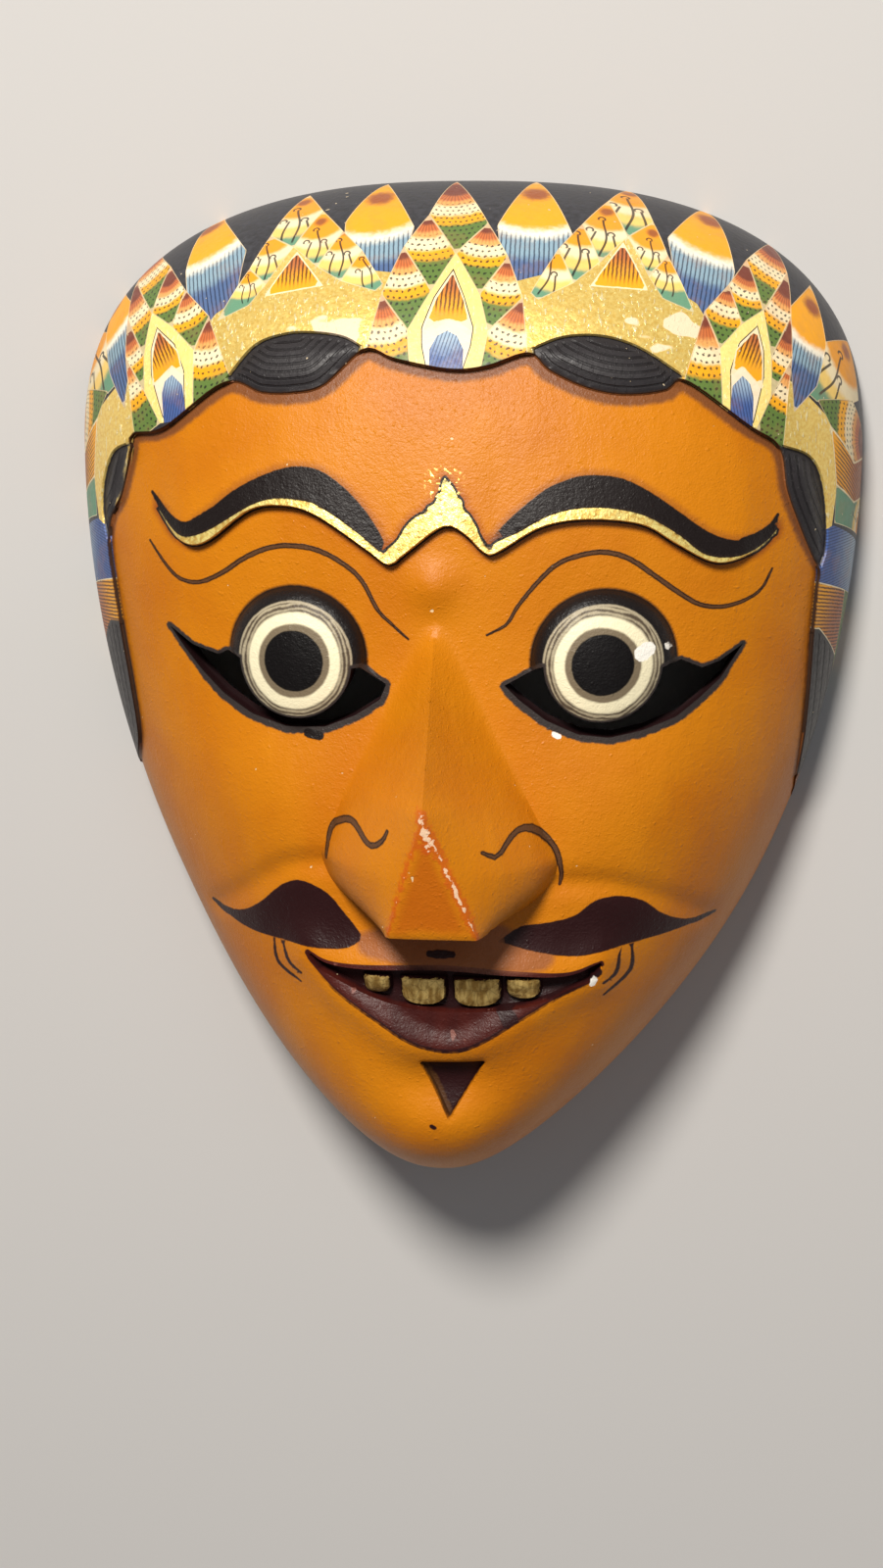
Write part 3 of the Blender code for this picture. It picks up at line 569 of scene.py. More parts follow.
def face_lines():
    """Each carved step as a pair of lines, and each painted edge as one, on the flat sheet."""
    plan = []
    for line in (brow_edge, drawn(GAP_FLOOR), drawn(UPPER_LIP), drawn(LOWER_LIP)):
        plan += [offset(line, STEP), offset(line, -STEP)]
    turn = np.radians(np.linspace(9, 171, 60))
    for place in eye_places:
        for radius in (EYE_RING * EYE_RADIUS - STEP, EYE_RING * EYE_RADIUS + STEP):
            plan.append(place + radius * np.column_stack([np.cos(turn), np.sin(turn)]))
    for left, right, bottom in TEETH:
        plan += [closed(tooth_outline(left, right, bottom, grow)) for grow in (STEP, -STEP)]
    middle = goatee.mean(axis=0)
    plan += [closed(middle + share * (goatee - middle)) for share in EITHER_SIDE_GOATEE]
    rows = np.linspace(TIP[1], BASE[1], 30)
    facet = FACET_HALF * (TIP[1] - rows) / (TIP[1] - BASE[1])
    plan += [np.column_stack([nose_line(rows) + side * facet, rows])[1:-1] for side in (-1, 1)]
    rows = np.linspace(BRIDGE[1], TIP[1], 40)
    plan.append(np.column_stack([nose_line(rows), rows]))
    foot = np.linspace(0.2 * BRIDGE[1], BASE[1] - FOOT, 60)
    for side in (-1, 1):
        for share in EITHER_SIDE_WING:
            plan.append(np.column_stack([nose_line(foot) + side * share * nose_half(foot), foot]))
    plan += [closed(outline) for outline in brow_black + moustache + [gilt]]
    plan += [line for line, _ in strokes[:-1]]
    return [flat_line(line, LINE_STEP) for line in plan]


# %% Build the two skins
RIM_COUNT = 600
rim_plan = plan_outline(0.0, RIM_COUNT)
rim_flat = unroll(rim_plan * 0.999999)
hair_flat = flat_line(hair_cut, CELL_STEP)
hair_flat = hair_flat[inside(hair_flat[:, 0], hair_flat[:, 1], rim_flat * 0.998)]


def meet_rim(line):
    """Carry both ends of a line on to the nearest points of the rim."""
    ends = [rim_flat[np.argmin(np.hypot(*(rim_flat - end).T))] for end in (line[0], line[-1])]
    return np.vstack([ends[0], line, ends[1]])


hair_flat = meet_rim(hair_flat)
slit_flat = [unroll(slit) for slit in slits]
lines = face_lines()
lines.append(flat_line(offset(hair_edge, -STEP), LINE_STEP))
taken = np.vstack(lines + slit_flat + [hair_flat, rim_flat])
grid = even_points(FINE, rim_flat * 0.995)
below = side_distance(grid[:, 0], grid[:, 1], hair_flat) < 0
coarse = even_points(4 * FINE, rim_flat * 0.985)
coarse = coarse[side_distance(coarse[:, 0], coarse[:, 1], hair_flat) > 2 * FINE]
fill = clear_of(np.vstack([grid[below], coarse]), taken, CLEARANCE)
face_flat, face_tris, face_rings = sheet_mesh([rim_flat] + slit_flat, lines + [hair_flat], fill, holes=2)
face_plan = roll(face_flat)
face_plan[face_rings[0]] = rim_plan
for ring, slit in zip(face_rings[1:], slits):
    face_plan[ring] = slit
print("face skin:", len(face_plan), "points,", len(face_tris), "triangles")


# %% Heights and the ground under the headdress
GROUND_DROP = 0.0010
LAYER_THICK = 0.0009


def lifted(plan, rim, surface):
    """Plan points with the height of a surface, and exactly zero height at the rim."""
    height = surface(plan[:, 0], plan[:, 1])
    height[rim] = 0.0
    return np.column_stack([plan, height])


def outward(flat):
    """Unit normals of the plain dome, from the cross product of two short steps on the sheet."""
    reach = 0.0004
    steps = []
    for axis in ((reach, 0.0), (0.0, reach)):
        pair = []
        for side in (-0.5, 0.5):
            plan = roll(flat * 0.9985 + side * np.array(axis))
            pair.append(np.column_stack([plan, dome(plan[:, 0], plan[:, 1], 0.0)]))
        steps.append(pair[1] - pair[0])
    normal = np.cross(steps[0], steps[1])
    return normal / np.maximum(np.linalg.norm(normal, axis=1, keepdims=True), 1e-12)


face_points = lifted(face_plan, face_rings[0], front_height)
over_hair = side_distance(face_flat[:, 0], face_flat[:, 1], hair_flat) > 1e-6
normals = outward(face_flat[over_hair])
face_points[over_hair] -= GROUND_DROP * normals
face_points[:, 2] = np.maximum(face_points[:, 2], 0.0)
face_points[face_rings[0], 2] = 0.0

back_rim = plan_outline(WALL, RIM_COUNT)
back_rim_flat = unroll(back_rim * 0.999999, WALL)
back_slits = [unroll(slit, WALL) for slit in slits]
taken = np.vstack(back_slits + [back_rim_flat])
BACK_STEP, BACK_CLEARANCE = 0.0028, 0.0011
grid = clear_of(even_points(BACK_STEP, back_rim_flat * 0.985), taken, BACK_CLEARANCE)
back_flat, back_tris, back_rings = sheet_mesh([back_rim_flat] + back_slits, [], grid, holes=2)
back_plan = roll(back_flat, WALL)
back_plan[back_rings[0]] = back_rim
for ring, slit in zip(back_rings[1:], slits):
    back_plan[ring] = slit
back_points = lifted(back_plan, back_rings[0], back_height)


def strips(front_rings, back_rings, first_back):
    """Two triangles for each step along a front loop and its back loop."""
    tris = []
    for front, back in zip(front_rings, back_rings):
        a, b = front, np.roll(front, -1)
        c, d = back + first_back, np.roll(back, -1) + first_back
        tris += [np.column_stack([b, a, c]), np.column_stack([b, c, d])]
    return np.vstack(tris)


walls = strips(face_rings, back_rings, len(face_points))
mask_points = np.vstack([face_points, back_points])
mask_tris = np.vstack([face_tris, back_tris[:, ::-1] + len(face_points), walls])
print("carved mask:", len(mask_tris), "triangles")


# %% A mesh object from arrays
SHARP_ANGLE = math.radians(46)


def piece(name, points, tris):
    """A mesh object at the origin with smooth faces, outward normals and edges sharp past an angle."""
    data = bpy.data.meshes.new(name)
    data.from_pydata(points.tolist(), [], tris.tolist())
    shell = bmesh.new()
    shell.from_mesh(data)
    bmesh.ops.recalc_face_normals(shell, faces=shell.faces)
    shell.to_mesh(data)
    shell.free()
    data.shade_smooth()
    data.set_sharp_from_angle(angle=SHARP_ANGLE)
    thing = bpy.data.objects.new(name, data)
    bpy.context.collection.objects.link(thing)
    return thing


def store(thing, name, values, domain="POINT"):
    """Put one number, or three, for each point, corner or face into a named attribute."""
    kind, field = ("FLOAT", "value") if values.ndim == 1 else ("FLOAT_VECTOR", "vector")
    layer = thing.data.attributes.new(name, kind, domain)
    layer.data.foreach_set(field, np.ascontiguousarray(values, np.float32).ravel())


def corner_points(thing):
    """Each face corner's point number."""
    numbers = np.zeros(len(thing.data.loops), np.int32)
    thing.data.loops.foreach_get("vertex_index", numbers)
    return numbers


carved_mask = piece("carved_mask", mask_points, mask_tris)

# %% [markdown]
# ## Where the paint goes
#
# A painter follows the carved edges with a fine brush. Each colour gets a number at every mesh point: its
# depth inside the painted outline in metres. The material draws the colour where the number is above zero,
# so an edge stays crisp however close the camera comes.


# %% Paint depths of the face
def stroke_depth(x, y, line, half):
    """A brush stroke: half its breadth, thin at both ends by a root of a sine, less the distance to it."""
    best = np.full(x.shape, -1.0)
    share = (np.arange(len(line) - 1) + 0.5) / (len(line) - 1)
    breadth = half * (0.35 + 0.65 * np.sqrt(np.sin(np.pi * share)))
    for (ax, ay), (dx, dy), wide in zip(line[:-1], np.diff(line, axis=0), breadth):
        along = np.clip(((x - ax) * dx + (y - ay) * dy) / (dx * dx + dy * dy), 0.0, 1.0)
        best = np.maximum(best, wide - np.hypot(x - ax - along * dx, y - ay - along * dy))
    return best


def deepest(x, y, outlines):
    """The depth inside whichever outline holds the point, or the nearest one."""
    return np.max([depth_inside(x, y, outline) for outline in outlines], axis=0)


px, py = np.vstack([face_plan, back_plan]).T
torn_lip = on_face([(.112, -.532), (.135, -.528), (.178, -.558), (.170, -.592), (.146, -.584), (.130, -.560)])
# Painted light: the goatee pit's lit left facet, a brown strip along its left side.
goatee_lit_facet_outline = on_face([(-.066, -.658), (-.046, -.660), (.013, -.762), (.006, -.781)])
# Painted shadow: inside this outline lies the nose's cast shadow on the upper lip, painted pinkish brown.
nose_shade = drawn([(-.225, -.410), (-.190, -.448), (-.020, -.462), (.215, -.470), (.262, -.440),
                    (.190, -.405), (.100, -.372), (-.060, -.366)])
brushed = [stroke_depth(px, py, line, half) for line, half in strokes]
in_lips = depth_inside(px, py, lips)
torn = np.minimum(depth_inside(px, py, torn_lip), in_lips)
black = np.max([deepest(px, py, brow_black + moustache + [goatee, gap]), torn] + brushed, axis=0)
down = np.linspace(0.02, 1, 24)
rows = TIP[1] + down * (BASE[1] - TIP[1])
facet_right, facet_left = (np.column_stack([nose_line(rows) + side * FACET_HALF * down, rows])
                           for side in (1, -1))
nose_top = on_face([(-.030, -.120), (-.024, -.150), (-.016, -.185)])
# Strokes along the edges of the nose's facet and near its tip, each with half its breadth.
edge_strokes = ((facet_right, 0.00070), (facet_left, 0.00030), (nose_top, 0.00095))
hair_wide = 0.0006 * (smooth(.56, .46, py / HALF_HEIGHT) + smooth(.40, .22, py / HALF_HEIGHT))
for name, depth in {
        "black_paint": black,
        "thin_line": np.max(brushed[:fine_lines], axis=0),
        "gold_paint": depth_inside(px, py, gilt),
        "gilt_apex": np.hypot(*(np.array([px, py]).T - on_face((-.004, .452))).T),
        "white_spot_and_glint": np.max([stroke_depth(px, py, on_face(line), half) for line, half in WHITE_SPOTS_AND_GLINT], axis=0),
        "lip_paint": np.maximum(in_lips, stroke_depth(px, py, drawn(UPPER_LIP), 0.0013)),
        "tooth_gilt": deepest(px, py, [tooth_outline(*tooth) for tooth in TEETH]),
        "goatee_lit_facet": depth_inside(px, py, goatee_lit_facet_outline),
        "eye_away": np.min([np.hypot(px - cx, py - cy) for cx, cy in eye_places], axis=0),
        "slit_edge": deepest(px, py, slits) + 0.0005 * smooth(.10, .04, py / HALF_HEIGHT),
        "brow_above": deepest(px, py, brow_black),
        "nose_edge_lines": np.max([stroke_depth(px, py, line, half) for line, half in edge_strokes], axis=0),
        "nose_facet": depth_inside(px, py, np.vstack([facet_right, facet_left[::-1]])),
        "painted_nose_shadow": depth_inside(px, py, nose_shade),
        "hair_below": hair_wide - side_distance(px, py, hair_edge),
        "front_side": (np.arange(len(px)) < len(face_plan)).astype(float)}.items():
    store(carved_mask, name, depth)
print("painted points:", int((black > 0).sum()), "black")


# %% Its map
def write_map(thing, uv):
    """The piece's own map, from two numbers for each face corner."""
    layer = thing.data.uv_layers.new(name="OFBake")
    layer.data.foreach_set("uv", np.ascontiguousarray(uv, np.float32).ravel())
    thing.data.uv_layers.active = layer


def strip_map(corners, rings, first_back, low_left, length, height):
    """Corners of a wall strip: share of the way round its loop across, front or back loop up."""
    uv = np.zeros((len(corners), 2))
    for row, (front, back) in enumerate(rings):
        spot = np.full(max(front.max(), back.max() + first_back) + 2, -1)
        spot[front] = np.arange(len(front))
        spot[back + first_back] = np.arange(len(back))
        tris = corners.reshape(-1, 3)
        found = spot[np.minimum(tris, len(spot) - 1)]
        mine = (found >= 0).all(axis=1)
        wraps = mine & (found.max(axis=1) - found.min(axis=1) > len(front) / 2)
        found = np.where(wraps[:, None] & (found < len(front) / 2), found + len(front), found)
        across = low_left[0] + length * found / len(front)
        up = low_left[1] + 1.6 * height * row + height * (tris >= first_back)
        flat = np.stack([across, up], axis=2).reshape(-1, 2)
        uv = np.where(np.repeat(mine, 3)[:, None], flat, uv)
    return uv


corners = corner_points(carved_mask)
in_face, in_back = len(face_tris) * 3, (len(face_tris) + len(back_tris)) * 3
FACE_SCALE = 4.3
wide_map = face_flat[corners[:in_face]] * FACE_SCALE
middles = face_flat[corners[:in_face].reshape(-1, 3)].mean(axis=1)
hidden = np.repeat(side_distance(*middles.T, hair_flat) > 0, 3)[:, None]
front_uv = np.where(hidden, wide_map * 0.2 + (.42, .005), wide_map + (.555, .672))
back_uv = mask_points[corners[in_face:in_back], :2] * 1.15 + (.10, .118)
rings = list(zip(face_rings, back_rings))
wall_uv = strip_map(corners[in_back:], rings, len(face_points), (.26, .004), .70, .006)
write_map(carved_mask, np.vstack([front_uv, back_uv, wall_uv]))
print("map reaches", front_uv.min(axis=0).round(3), front_uv.max(axis=0).round(3))

# %% [markdown]
# ## The headdress
#
# Above the hairline runs a painted band: tall triangles of feather scales, with lozenge feathers and flower
# triangles between them, and gold leaf over each lobe of hair. It is a layer of its own here, so that it gets
# its own map. Each cell is a small outline on the flat sheet with a tip and a foot. Colours follow the
# distance from the tip, as the painter's brush did. Where a tip runs down over the rim, its colours begin
# higher.

# %% Cells of the headdress, in millimetres on the flat sheet
SCALE, KITE, FLOWER, LEAF, GILT_EDGE, PANEL, BLOB, HATCH = range(1, 9)


def of_kind(kind, *outlines):
    """Each outline with the kind of cell that it bounds."""
    return [(kind, outline) for outline in outlines]


CENTRE_CELLS = (
    of_kind(SCALE, [(-2.8, 115), (-6, 96.8), (.2, 86), (5.9, 94)],
            [(-6, 96.8), (-9.8, 87.6), (-3.7, 77.7), (.2, 86)],
            [(-9.8, 87.6), (-12.8, 77.1), (-7.5, 70), (-3.7, 77.7)],
            [(-12.8, 77.1), (-15.2, 64), (-6.4, 60), (-7.5, 70)],
            [(5.9, 94), (.2, 86), (5, 77.1), (10, 85.2)],
            [(10, 85.2), (5, 77.1), (6.8, 69.9), (12.9, 76.4)],
            [(12.9, 76.4), (6.8, 69.9), (5.2, 60), (14.3, 62)])
    + of_kind(GILT_EDGE, [(.2, 86), (-3.7, 77.7), (-7.5, 70), (-6.4, 60), (5.2, 60), (6.8, 69.9), (5, 77.1)])
    + of_kind(PANEL,
            [(0, 82.5), (-3.2, 76.5), (-5.1, 70.5), (-4.9, 67), (-3.2, 60), (1.8, 60), (3.9, 67),
             (4.3, 70.5), (2.4, 76.5)])
    + of_kind(HATCH,
            [(0, 82), (-3, 76), (-4.7, 69.8), (-2.5, 71.4), (-.4, 72), (1.8, 71.4), (4.1, 69.8),
             (2.3, 76.3)])
    + of_kind(BLOB, [(-.4, 70), (-2.2, 69), (-3.4, 66.5), (-3.3, 60), (2.5, 60), (2.6, 66.5), (1.4, 69)]))
FLOWER_CELLS = (
    of_kind(LEAF,
            [(9, 79), (20, 82.5), (25, 87), (32.7, 94), (37, 84), (39.5, 80.5), (45, 77), (46.6, 74),
             (44, 60), (30, 56), (9, 58)])
    + of_kind(FLOWER, [(37, 116.9), (30, 104), (32.7, 91.5), (38.6, 97)],
            [(30, 104), (24, 94.5), (27, 84.5), (32.7, 91.5)],
            [(24, 94.5), (19.3, 87.5), (22, 79.7), (27, 84.5)],
            [(19.3, 87.5), (14.2, 77.5), (15.5, 76), (22, 79.7)],
            [(38.6, 97), (32.7, 91.5), (36, 82), (40.3, 87.5)],
            [(40.3, 87.5), (36, 82), (38.4, 77.4), (44.4, 75)])
    + of_kind(HATCH, [(31.7, 90), (25, 79.2), (30.4, 79), (35.8, 78.9)]))
SIDE_CELLS = (
    of_kind(SCALE, [(69.5, 103.1), (57.5, 90), (59, 77.6), (68.1, 90.2)],
            [(57.5, 90), (52, 82.2), (53.9, 73.8), (59, 77.6)],
            [(52, 82.2), (46.4, 75.6), (49.1, 68.5), (53.9, 73.8)],
            [(46.4, 75.6), (41.9, 62), (49.4, 56), (49.1, 68.5)],
            [(68.1, 90.2), (59, 77.6), (59.8, 68.1), (65.8, 78)],
            [(65.8, 78), (59.8, 68.1), (59.5, 60.5), (64.8, 68.5)],
            [(64.8, 68.5), (59.5, 60.5), (56.2, 54), (62.3, 50), (63.4, 61)])
    + of_kind(GILT_EDGE,
            [(59, 77.6), (53.9, 73.8), (49.1, 68.5), (49.4, 55), (56.2, 54), (59.5, 60.5), (59.8, 68.1)])
    + of_kind(PANEL, [(57.3, 74.1), (53, 70), (50.9, 64.5), (50.8, 56), (55.6, 55), (58, 63.7), (58.3, 69)])
    + of_kind(HATCH,
            [(57.2, 73.8), (52.3, 68.6), (50.9, 63.4), (53.5, 65.2), (55.6, 63.2), (57.6, 61.4), (58, 67)])
    + of_kind(BLOB, [(53.4, 63.6), (51.3, 61.5), (50.6, 55), (55.4, 54), (55.6, 59.9), (54.9, 62.4)]))
FAR_CELLS = (
    of_kind(FLOWER, [(87, 80), (74.1, 74.3), (66, 63.4), (71, 61), (84, 64), (88, 66)])
    + of_kind(LEAF,
            [(60, 66), (66, 63), (75.3, 58), (78, 52), (78.6, 44), (78, 36), (76.5, 32), (66, 30), (58, 50)])
    + of_kind(SCALE, [(98, 57), (84, 64.5), (71, 61.5), (75.3, 57), (86, 52)])
    + of_kind(HATCH, [(100, 48), (98, 57), (86, 52), (75.3, 57), (78.4, 46), (88, 44)])
    + of_kind(FLOWER, [(100, 38), (100, 48), (88, 44), (78.4, 46), (79, 38.5)])
    + of_kind(BLOB, [(104, 36), (78.5, 38), (68, 33), (68, 27), (82, 25.3), (100, 23.5)])
    + of_kind(HATCH, [(94, 16), (90, 25), (68, 27), (68, 17), (78.5, 16.4), (92.5, 9)])
    + of_kind(SCALE, [(112, 12), (100, 24), (90, 25), (92.5, 9), (102, -6), (110, -6)]))
KITES = of_kind(
    KITE, [(15.3, 116.5), (7.6, 93.5), (9, 80), (14.5, 72), (20.5, 80), (22, 91.5)],
    [(55.2, 113), (40.8, 92.5), (41, 78), (44.5, 69), (50.5, 76), (54, 85.8)],
    [(75.4, 90), (65.8, 80), (64, 70), (64.8, 58), (71, 64), (75, 74)],
    [(-18.4, 114), (-22.5, 95), (-20, 80), (-13.5, 72), (-9.5, 82), (-8.4, 93)],
    [(-60.5, 111), (-55.4, 86), (-50.5, 74), (-45, 68), (-41, 78), (-41.8, 89)],
    [(-84.3, 93), (-78.4, 77.6), (-72, 66), (-65.7, 58), (-64.5, 70), (-66, 79)])


def carried(cells, here, there):
    """The cells moved by the one affine map that takes three points here to three points there."""
    ours = np.column_stack([np.array(here, float), np.ones(3)])
    move = np.linalg.solve(ours, np.array(there, float))
    return [(kind, np.column_stack([np.array(c, float), np.ones(len(c))]) @ move) for kind, c in cells]


flower_left = carried(FLOWER_CELLS, [(37, 116.9), (14.5, 75.6), (44.3, 74.9)],
                      [(-35.2, 109.5), (-13, 77.5), (-44.4, 72.8)])
side_left = carried(SIDE_CELLS, [(68.5, 101.5), (42.5, 63.2), (62.3, 52)],
                    [(-74.8, 100.5), (-40.5, 62.1), (-62.3, 52.7)])
far_left = carried(FAR_CELLS, [(74, 74), (66, 50), (90, 30)], [(-76, 76), (-66, 50), (-90, 30)])
cells = FAR_CELLS + far_left + KITES + FLOWER_CELLS + flower_left + SIDE_CELLS + side_left + CENTRE_CELLS
cells = [(kind, np.array(outline, float) * MM) for kind, outline in cells]
print("cells:", len(cells))

# %% Build the layer
cell_lines = [resample(closed(outline), CELL_STEP) for _, outline in cells]
steps = [offset(drawn(arch), side) for arch in LENS_ARCHES for side in (STEP, -STEP)]
carved_lines = [flat_line(line, CELL_STEP) for line in steps + [offset(hair_edge, STEP)]]
taken = np.vstack(cell_lines + carved_lines + [hair_flat, rim_flat])
CROWN_STEP = 0.00085
grid = even_points(CROWN_STEP, rim_flat * 0.995)
grid = grid[side_distance(grid[:, 0], grid[:, 1], hair_flat) > 0.0004]


def runs_within(line):
    """The stretches of a line that stay inside the rim."""
    held = inside(line[:, 0], line[:, 1], rim_flat * 0.997)
    parts = np.split(np.arange(len(line)), np.flatnonzero(np.diff(held.astype(int))) + 1)
    return [line[part] for part in parts if held[part[0]] and len(part) > 1]


band = [run for line in cell_lines for run in runs_within(line)]
crown_flat, crown_tris, crown_rings = sheet_mesh(
    [rim_flat], [hair_flat] + band + carved_lines, clear_of(grid, taken, CLEARANCE))
middle = crown_flat[crown_tris].mean(axis=1)
crown_tris = crown_tris[side_distance(middle[:, 0], middle[:, 1], hair_flat) > 0]
used, crown_tris = np.unique(crown_tris, return_inverse=True)
crown_tris = crown_tris.reshape(-1, 3)
on_rim = np.isin(used, crown_rings[0])
crown_flat = crown_flat[used]
crown_plan = roll(crown_flat)
crown_top = lifted(crown_plan, on_rim, front_height)
crown_under = crown_top - LAYER_THICK * outward(crown_flat)
crown_under[:, 2] = np.where(on_rim, 0.0, np.maximum(crown_under[:, 2], 0.0))


def border_loop(tris):
    """The open edges of a sheet, in order: each is used by one triangle only."""
    edges = np.vstack([tris[:, [0, 1]], tris[:, [1, 2]], tris[:, [2, 0]]])
    width = edges.max() + 1
    code = edges[:, 0] * width + edges[:, 1]
    alone = edges[~np.isin(code, edges[:, 1] * width + edges[:, 0])]
    after = np.full(width, -1)
    after[alone[:, 0]] = alone[:, 1]
    loop = [alone[0, 0]]
    while after[loop[-1]] != loop[0]:
        loop.append(after[loop[-1]])
    return np.array(loop), len(alone)


crown_edge, edge_count = border_loop(crown_tris)
print("headdress:", len(crown_tris), "triangles, border", len(crown_edge), "of", edge_count)
crown_wall = strips([crown_edge], [crown_edge], len(crown_top))
headdress_layer = piece("headdress_layer", np.vstack([crown_top, crown_under]),
                        np.vstack([crown_tris, crown_tris[:, ::-1] + len(crown_top), crown_wall]))

# %% Which cell each triangle is in, and where in it
OVER_RIM, RIM_REACH = 0.76, 0.100
corners = corner_points(headdress_layer)
both = np.vstack([crown_flat, crown_flat])
spots = both[corners]
centre = spots.reshape(-1, 3, 2).mean(axis=1)
kind = np.zeros(len(centre))
place = np.zeros((len(spots), 3))
length = np.ones(len(centre))
for number, outline in cells:
    held = inside(centre[:, 0], centre[:, 1], outline)
    held_corners = np.repeat(held, 3)
    foot = outline[len(outline) // 2]
    tip = foot + (outline[0] - foot) * (OVER_RIM if np.hypot(*outline[0]) > RIM_REACH else 1.0)
    axis = (foot - tip) / np.linalg.norm(foot - tip)
    away = spots[held_corners] - tip
    kind[held] = number
    length[held] = np.linalg.norm(foot - tip)
    place[held_corners, 0] = away[:, 0] * axis[1] - away[:, 1] * axis[0]
    place[held_corners, 1] = away @ axis
    place[held_corners, 2] = np.maximum(depth_inside(*spots[held_corners].T, outline), 0)
store(headdress_layer, "cell_kind", kind, "FACE")
store(headdress_layer, "cell_place", place, "CORNER")
store(headdress_layer, "cell_length", length, "FACE")
plan_both = np.vstack([crown_plan, crown_plan])
SIDEBURN = np.array(((0, 17), (78.5, 16.4), (92.5, 9), (102, -6), (112, -8), (112, -70), (0, -70))) * MM
burns = [SIDEBURN * (side, 1) for side in (1, -1)]
lobes = np.maximum(deepest(plan_both[:, 0], plan_both[:, 1], lenses), deepest(both[:, 0], both[:, 1], burns))
store(headdress_layer, "hair_lobe", lobes)
store(headdress_layer, "above_hairline", side_distance(plan_both[:, 0], plan_both[:, 1], hair_edge))
CROWN_SCALE = 4.6
size = len(crown_tris) * 3
top_uv = spots[:size] * CROWN_SCALE + (.5, .41)
under_uv = spots[size:2 * size] * 0.9 + (.2, .03)
edge_uv = strip_map(corners[2 * size:], [(crown_edge, crown_edge)], len(crown_top), (.02, .205), .96, .012)
write_map(headdress_layer, np.vstack([top_uv, under_uv, edge_uv]))
print("map reaches", top_uv.min(axis=0).round(3), top_uv.max(axis=0).round(3))

# %% [markdown]
# ## Mixing paint
#
# Blender's materials are nodes, and a painted mask needs many of them. A small class wraps a node's output,
# so that a sum or a product in Python adds a Math node. A paint box holds one material and lays one coat of
# colour over the next.


# %% Sums on sockets
class Reading:
    """One output socket that takes part in sums: each sign adds a Math node."""

    def __init__(self, box, socket):
        self.box, self.socket = box, socket

    def __add__(self, other):
        return self.box.maths("ADD", self, other)

    def __sub__(self, other):
        return self.box.maths("SUBTRACT", self, other)

    def __rsub__(self, other):
        return self.box.maths("SUBTRACT", other, self)

    def __mul__(self, other):
        return self.box.maths("MULTIPLY", self, other)

    def __truediv__(self, other):
        return self.box.maths("DIVIDE", self, other)

    __radd__ = __add__
    __rmul__ = __mul__


class PaintBox:
    """A material's node tree, with a method for each kind of step."""

    def __init__(self, name):
        self.material = bpy.data.materials.new(name)
        self.material.use_nodes = True
        self.tree = self.material.node_tree
        self.shader = self.tree.nodes["Principled BSDF"]
        self.colour = None

    def node(self, kind, settings=None, inputs=None, output=0):
        """Any node: its settings first, then values or links by socket name or number."""
        made = self.tree.nodes.new(kind)
        for name, value in (settings or {}).items():
            setattr(made, name, value)
        for name, value in (inputs or {}).items():
            self.set(made.inputs[name], value)
        return Reading(self, made.outputs[output])

    def set(self, socket, value):
        if isinstance(value, Reading):
            self.tree.links.new(value.socket, socket)
        else:
            socket.default_value = value

    def maths(self, operation, *values, clamp=False):
        """A Math node on numbers or readings."""
        settings = {"operation": operation, "use_clamp": clamp}
        return self.node("ShaderNodeMath", settings, dict(enumerate(values)))

    def most(self, a, b):
        """The greater of two readings."""
        return self.maths("MAXIMUM", a, b)

    def ramp(self, value, low, high):
        """0 at low, 1 at high, smooth between; low may be the greater."""
        return self.node("ShaderNodeMapRange", {"interpolation_type": "SMOOTHSTEP"},
                         {"Value": value, "From Min": low, "From Max": high})

    def mix(self, share, a, b):
        """Colour a where the share is 0 and b where it is 1."""
        a, b = (tuple(c) + (1.0,) if isinstance(c, tuple) and len(c) == 3 else c for c in (a, b))
        return self.node("ShaderNodeMix", {"data_type": "RGBA"}, {0: share, 6: a, 7: b}, 2)

    def coat(self, share, shade):
        """Lay a colour over the coats so far, as thick as the share."""
        self.colour = self.mix(share, self.colour, shade)

    def attribute(self, name, output=2):
        """A named number stored on the mesh; output 1 is a vector."""
        return self.node("ShaderNodeAttribute", {"attribute_name": name}, output=output)

    def noise(self, scale, detail, rough, stretch=(1, 1, 1)):
        """Noise on the wood itself, so that it stays put as the mask moves."""
        place = self.node("ShaderNodeTexCoord", output=3)
        if stretch != (1, 1, 1):
            place = self.node("ShaderNodeMapping", {}, {"Vector": place, "Scale": stretch})
        settings = {"Vector": place, "Scale": scale, "Detail": detail, "Roughness": rough}
        return self.node("ShaderNodeTexNoise", {}, settings)

    def split(self, vector):
        """The three parts of a vector."""
        made = self.tree.nodes.new("ShaderNodeSeparateXYZ")
        self.tree.links.new(vector.socket, made.inputs[0])
        return [Reading(self, made.outputs[k]) for k in range(3)]

    def bump(self, height, distance, strength):
        """A normal tilted by a height, for relief finer than the mesh."""
        return self.node("ShaderNodeBump", {}, {"Height": height, "Distance": distance, "Strength": strength})

    def finish(self, thing, inputs):
        """Set the shader's inputs and give the material to a piece."""
        for name, value in {"Base Color": self.colour, **inputs}.items():
            self.set(self.shader.inputs[name], value)
        thing.data.materials.append(self.material)


def rgb(red, green, blue):
    """A colour given in screen numbers from 0 to 255, turned into light by the sRGB curve."""
    shares = np.array([red, green, blue]) / 255
    light = np.where(shares < 0.04045, shares / 12.92, ((shares + 0.055) / 1.055) ** 2.4)
    return tuple(float(v) for v in light)


ORANGE = rgb(206, 124, 9)
print("orange in linear light", np.round(ORANGE, 3))
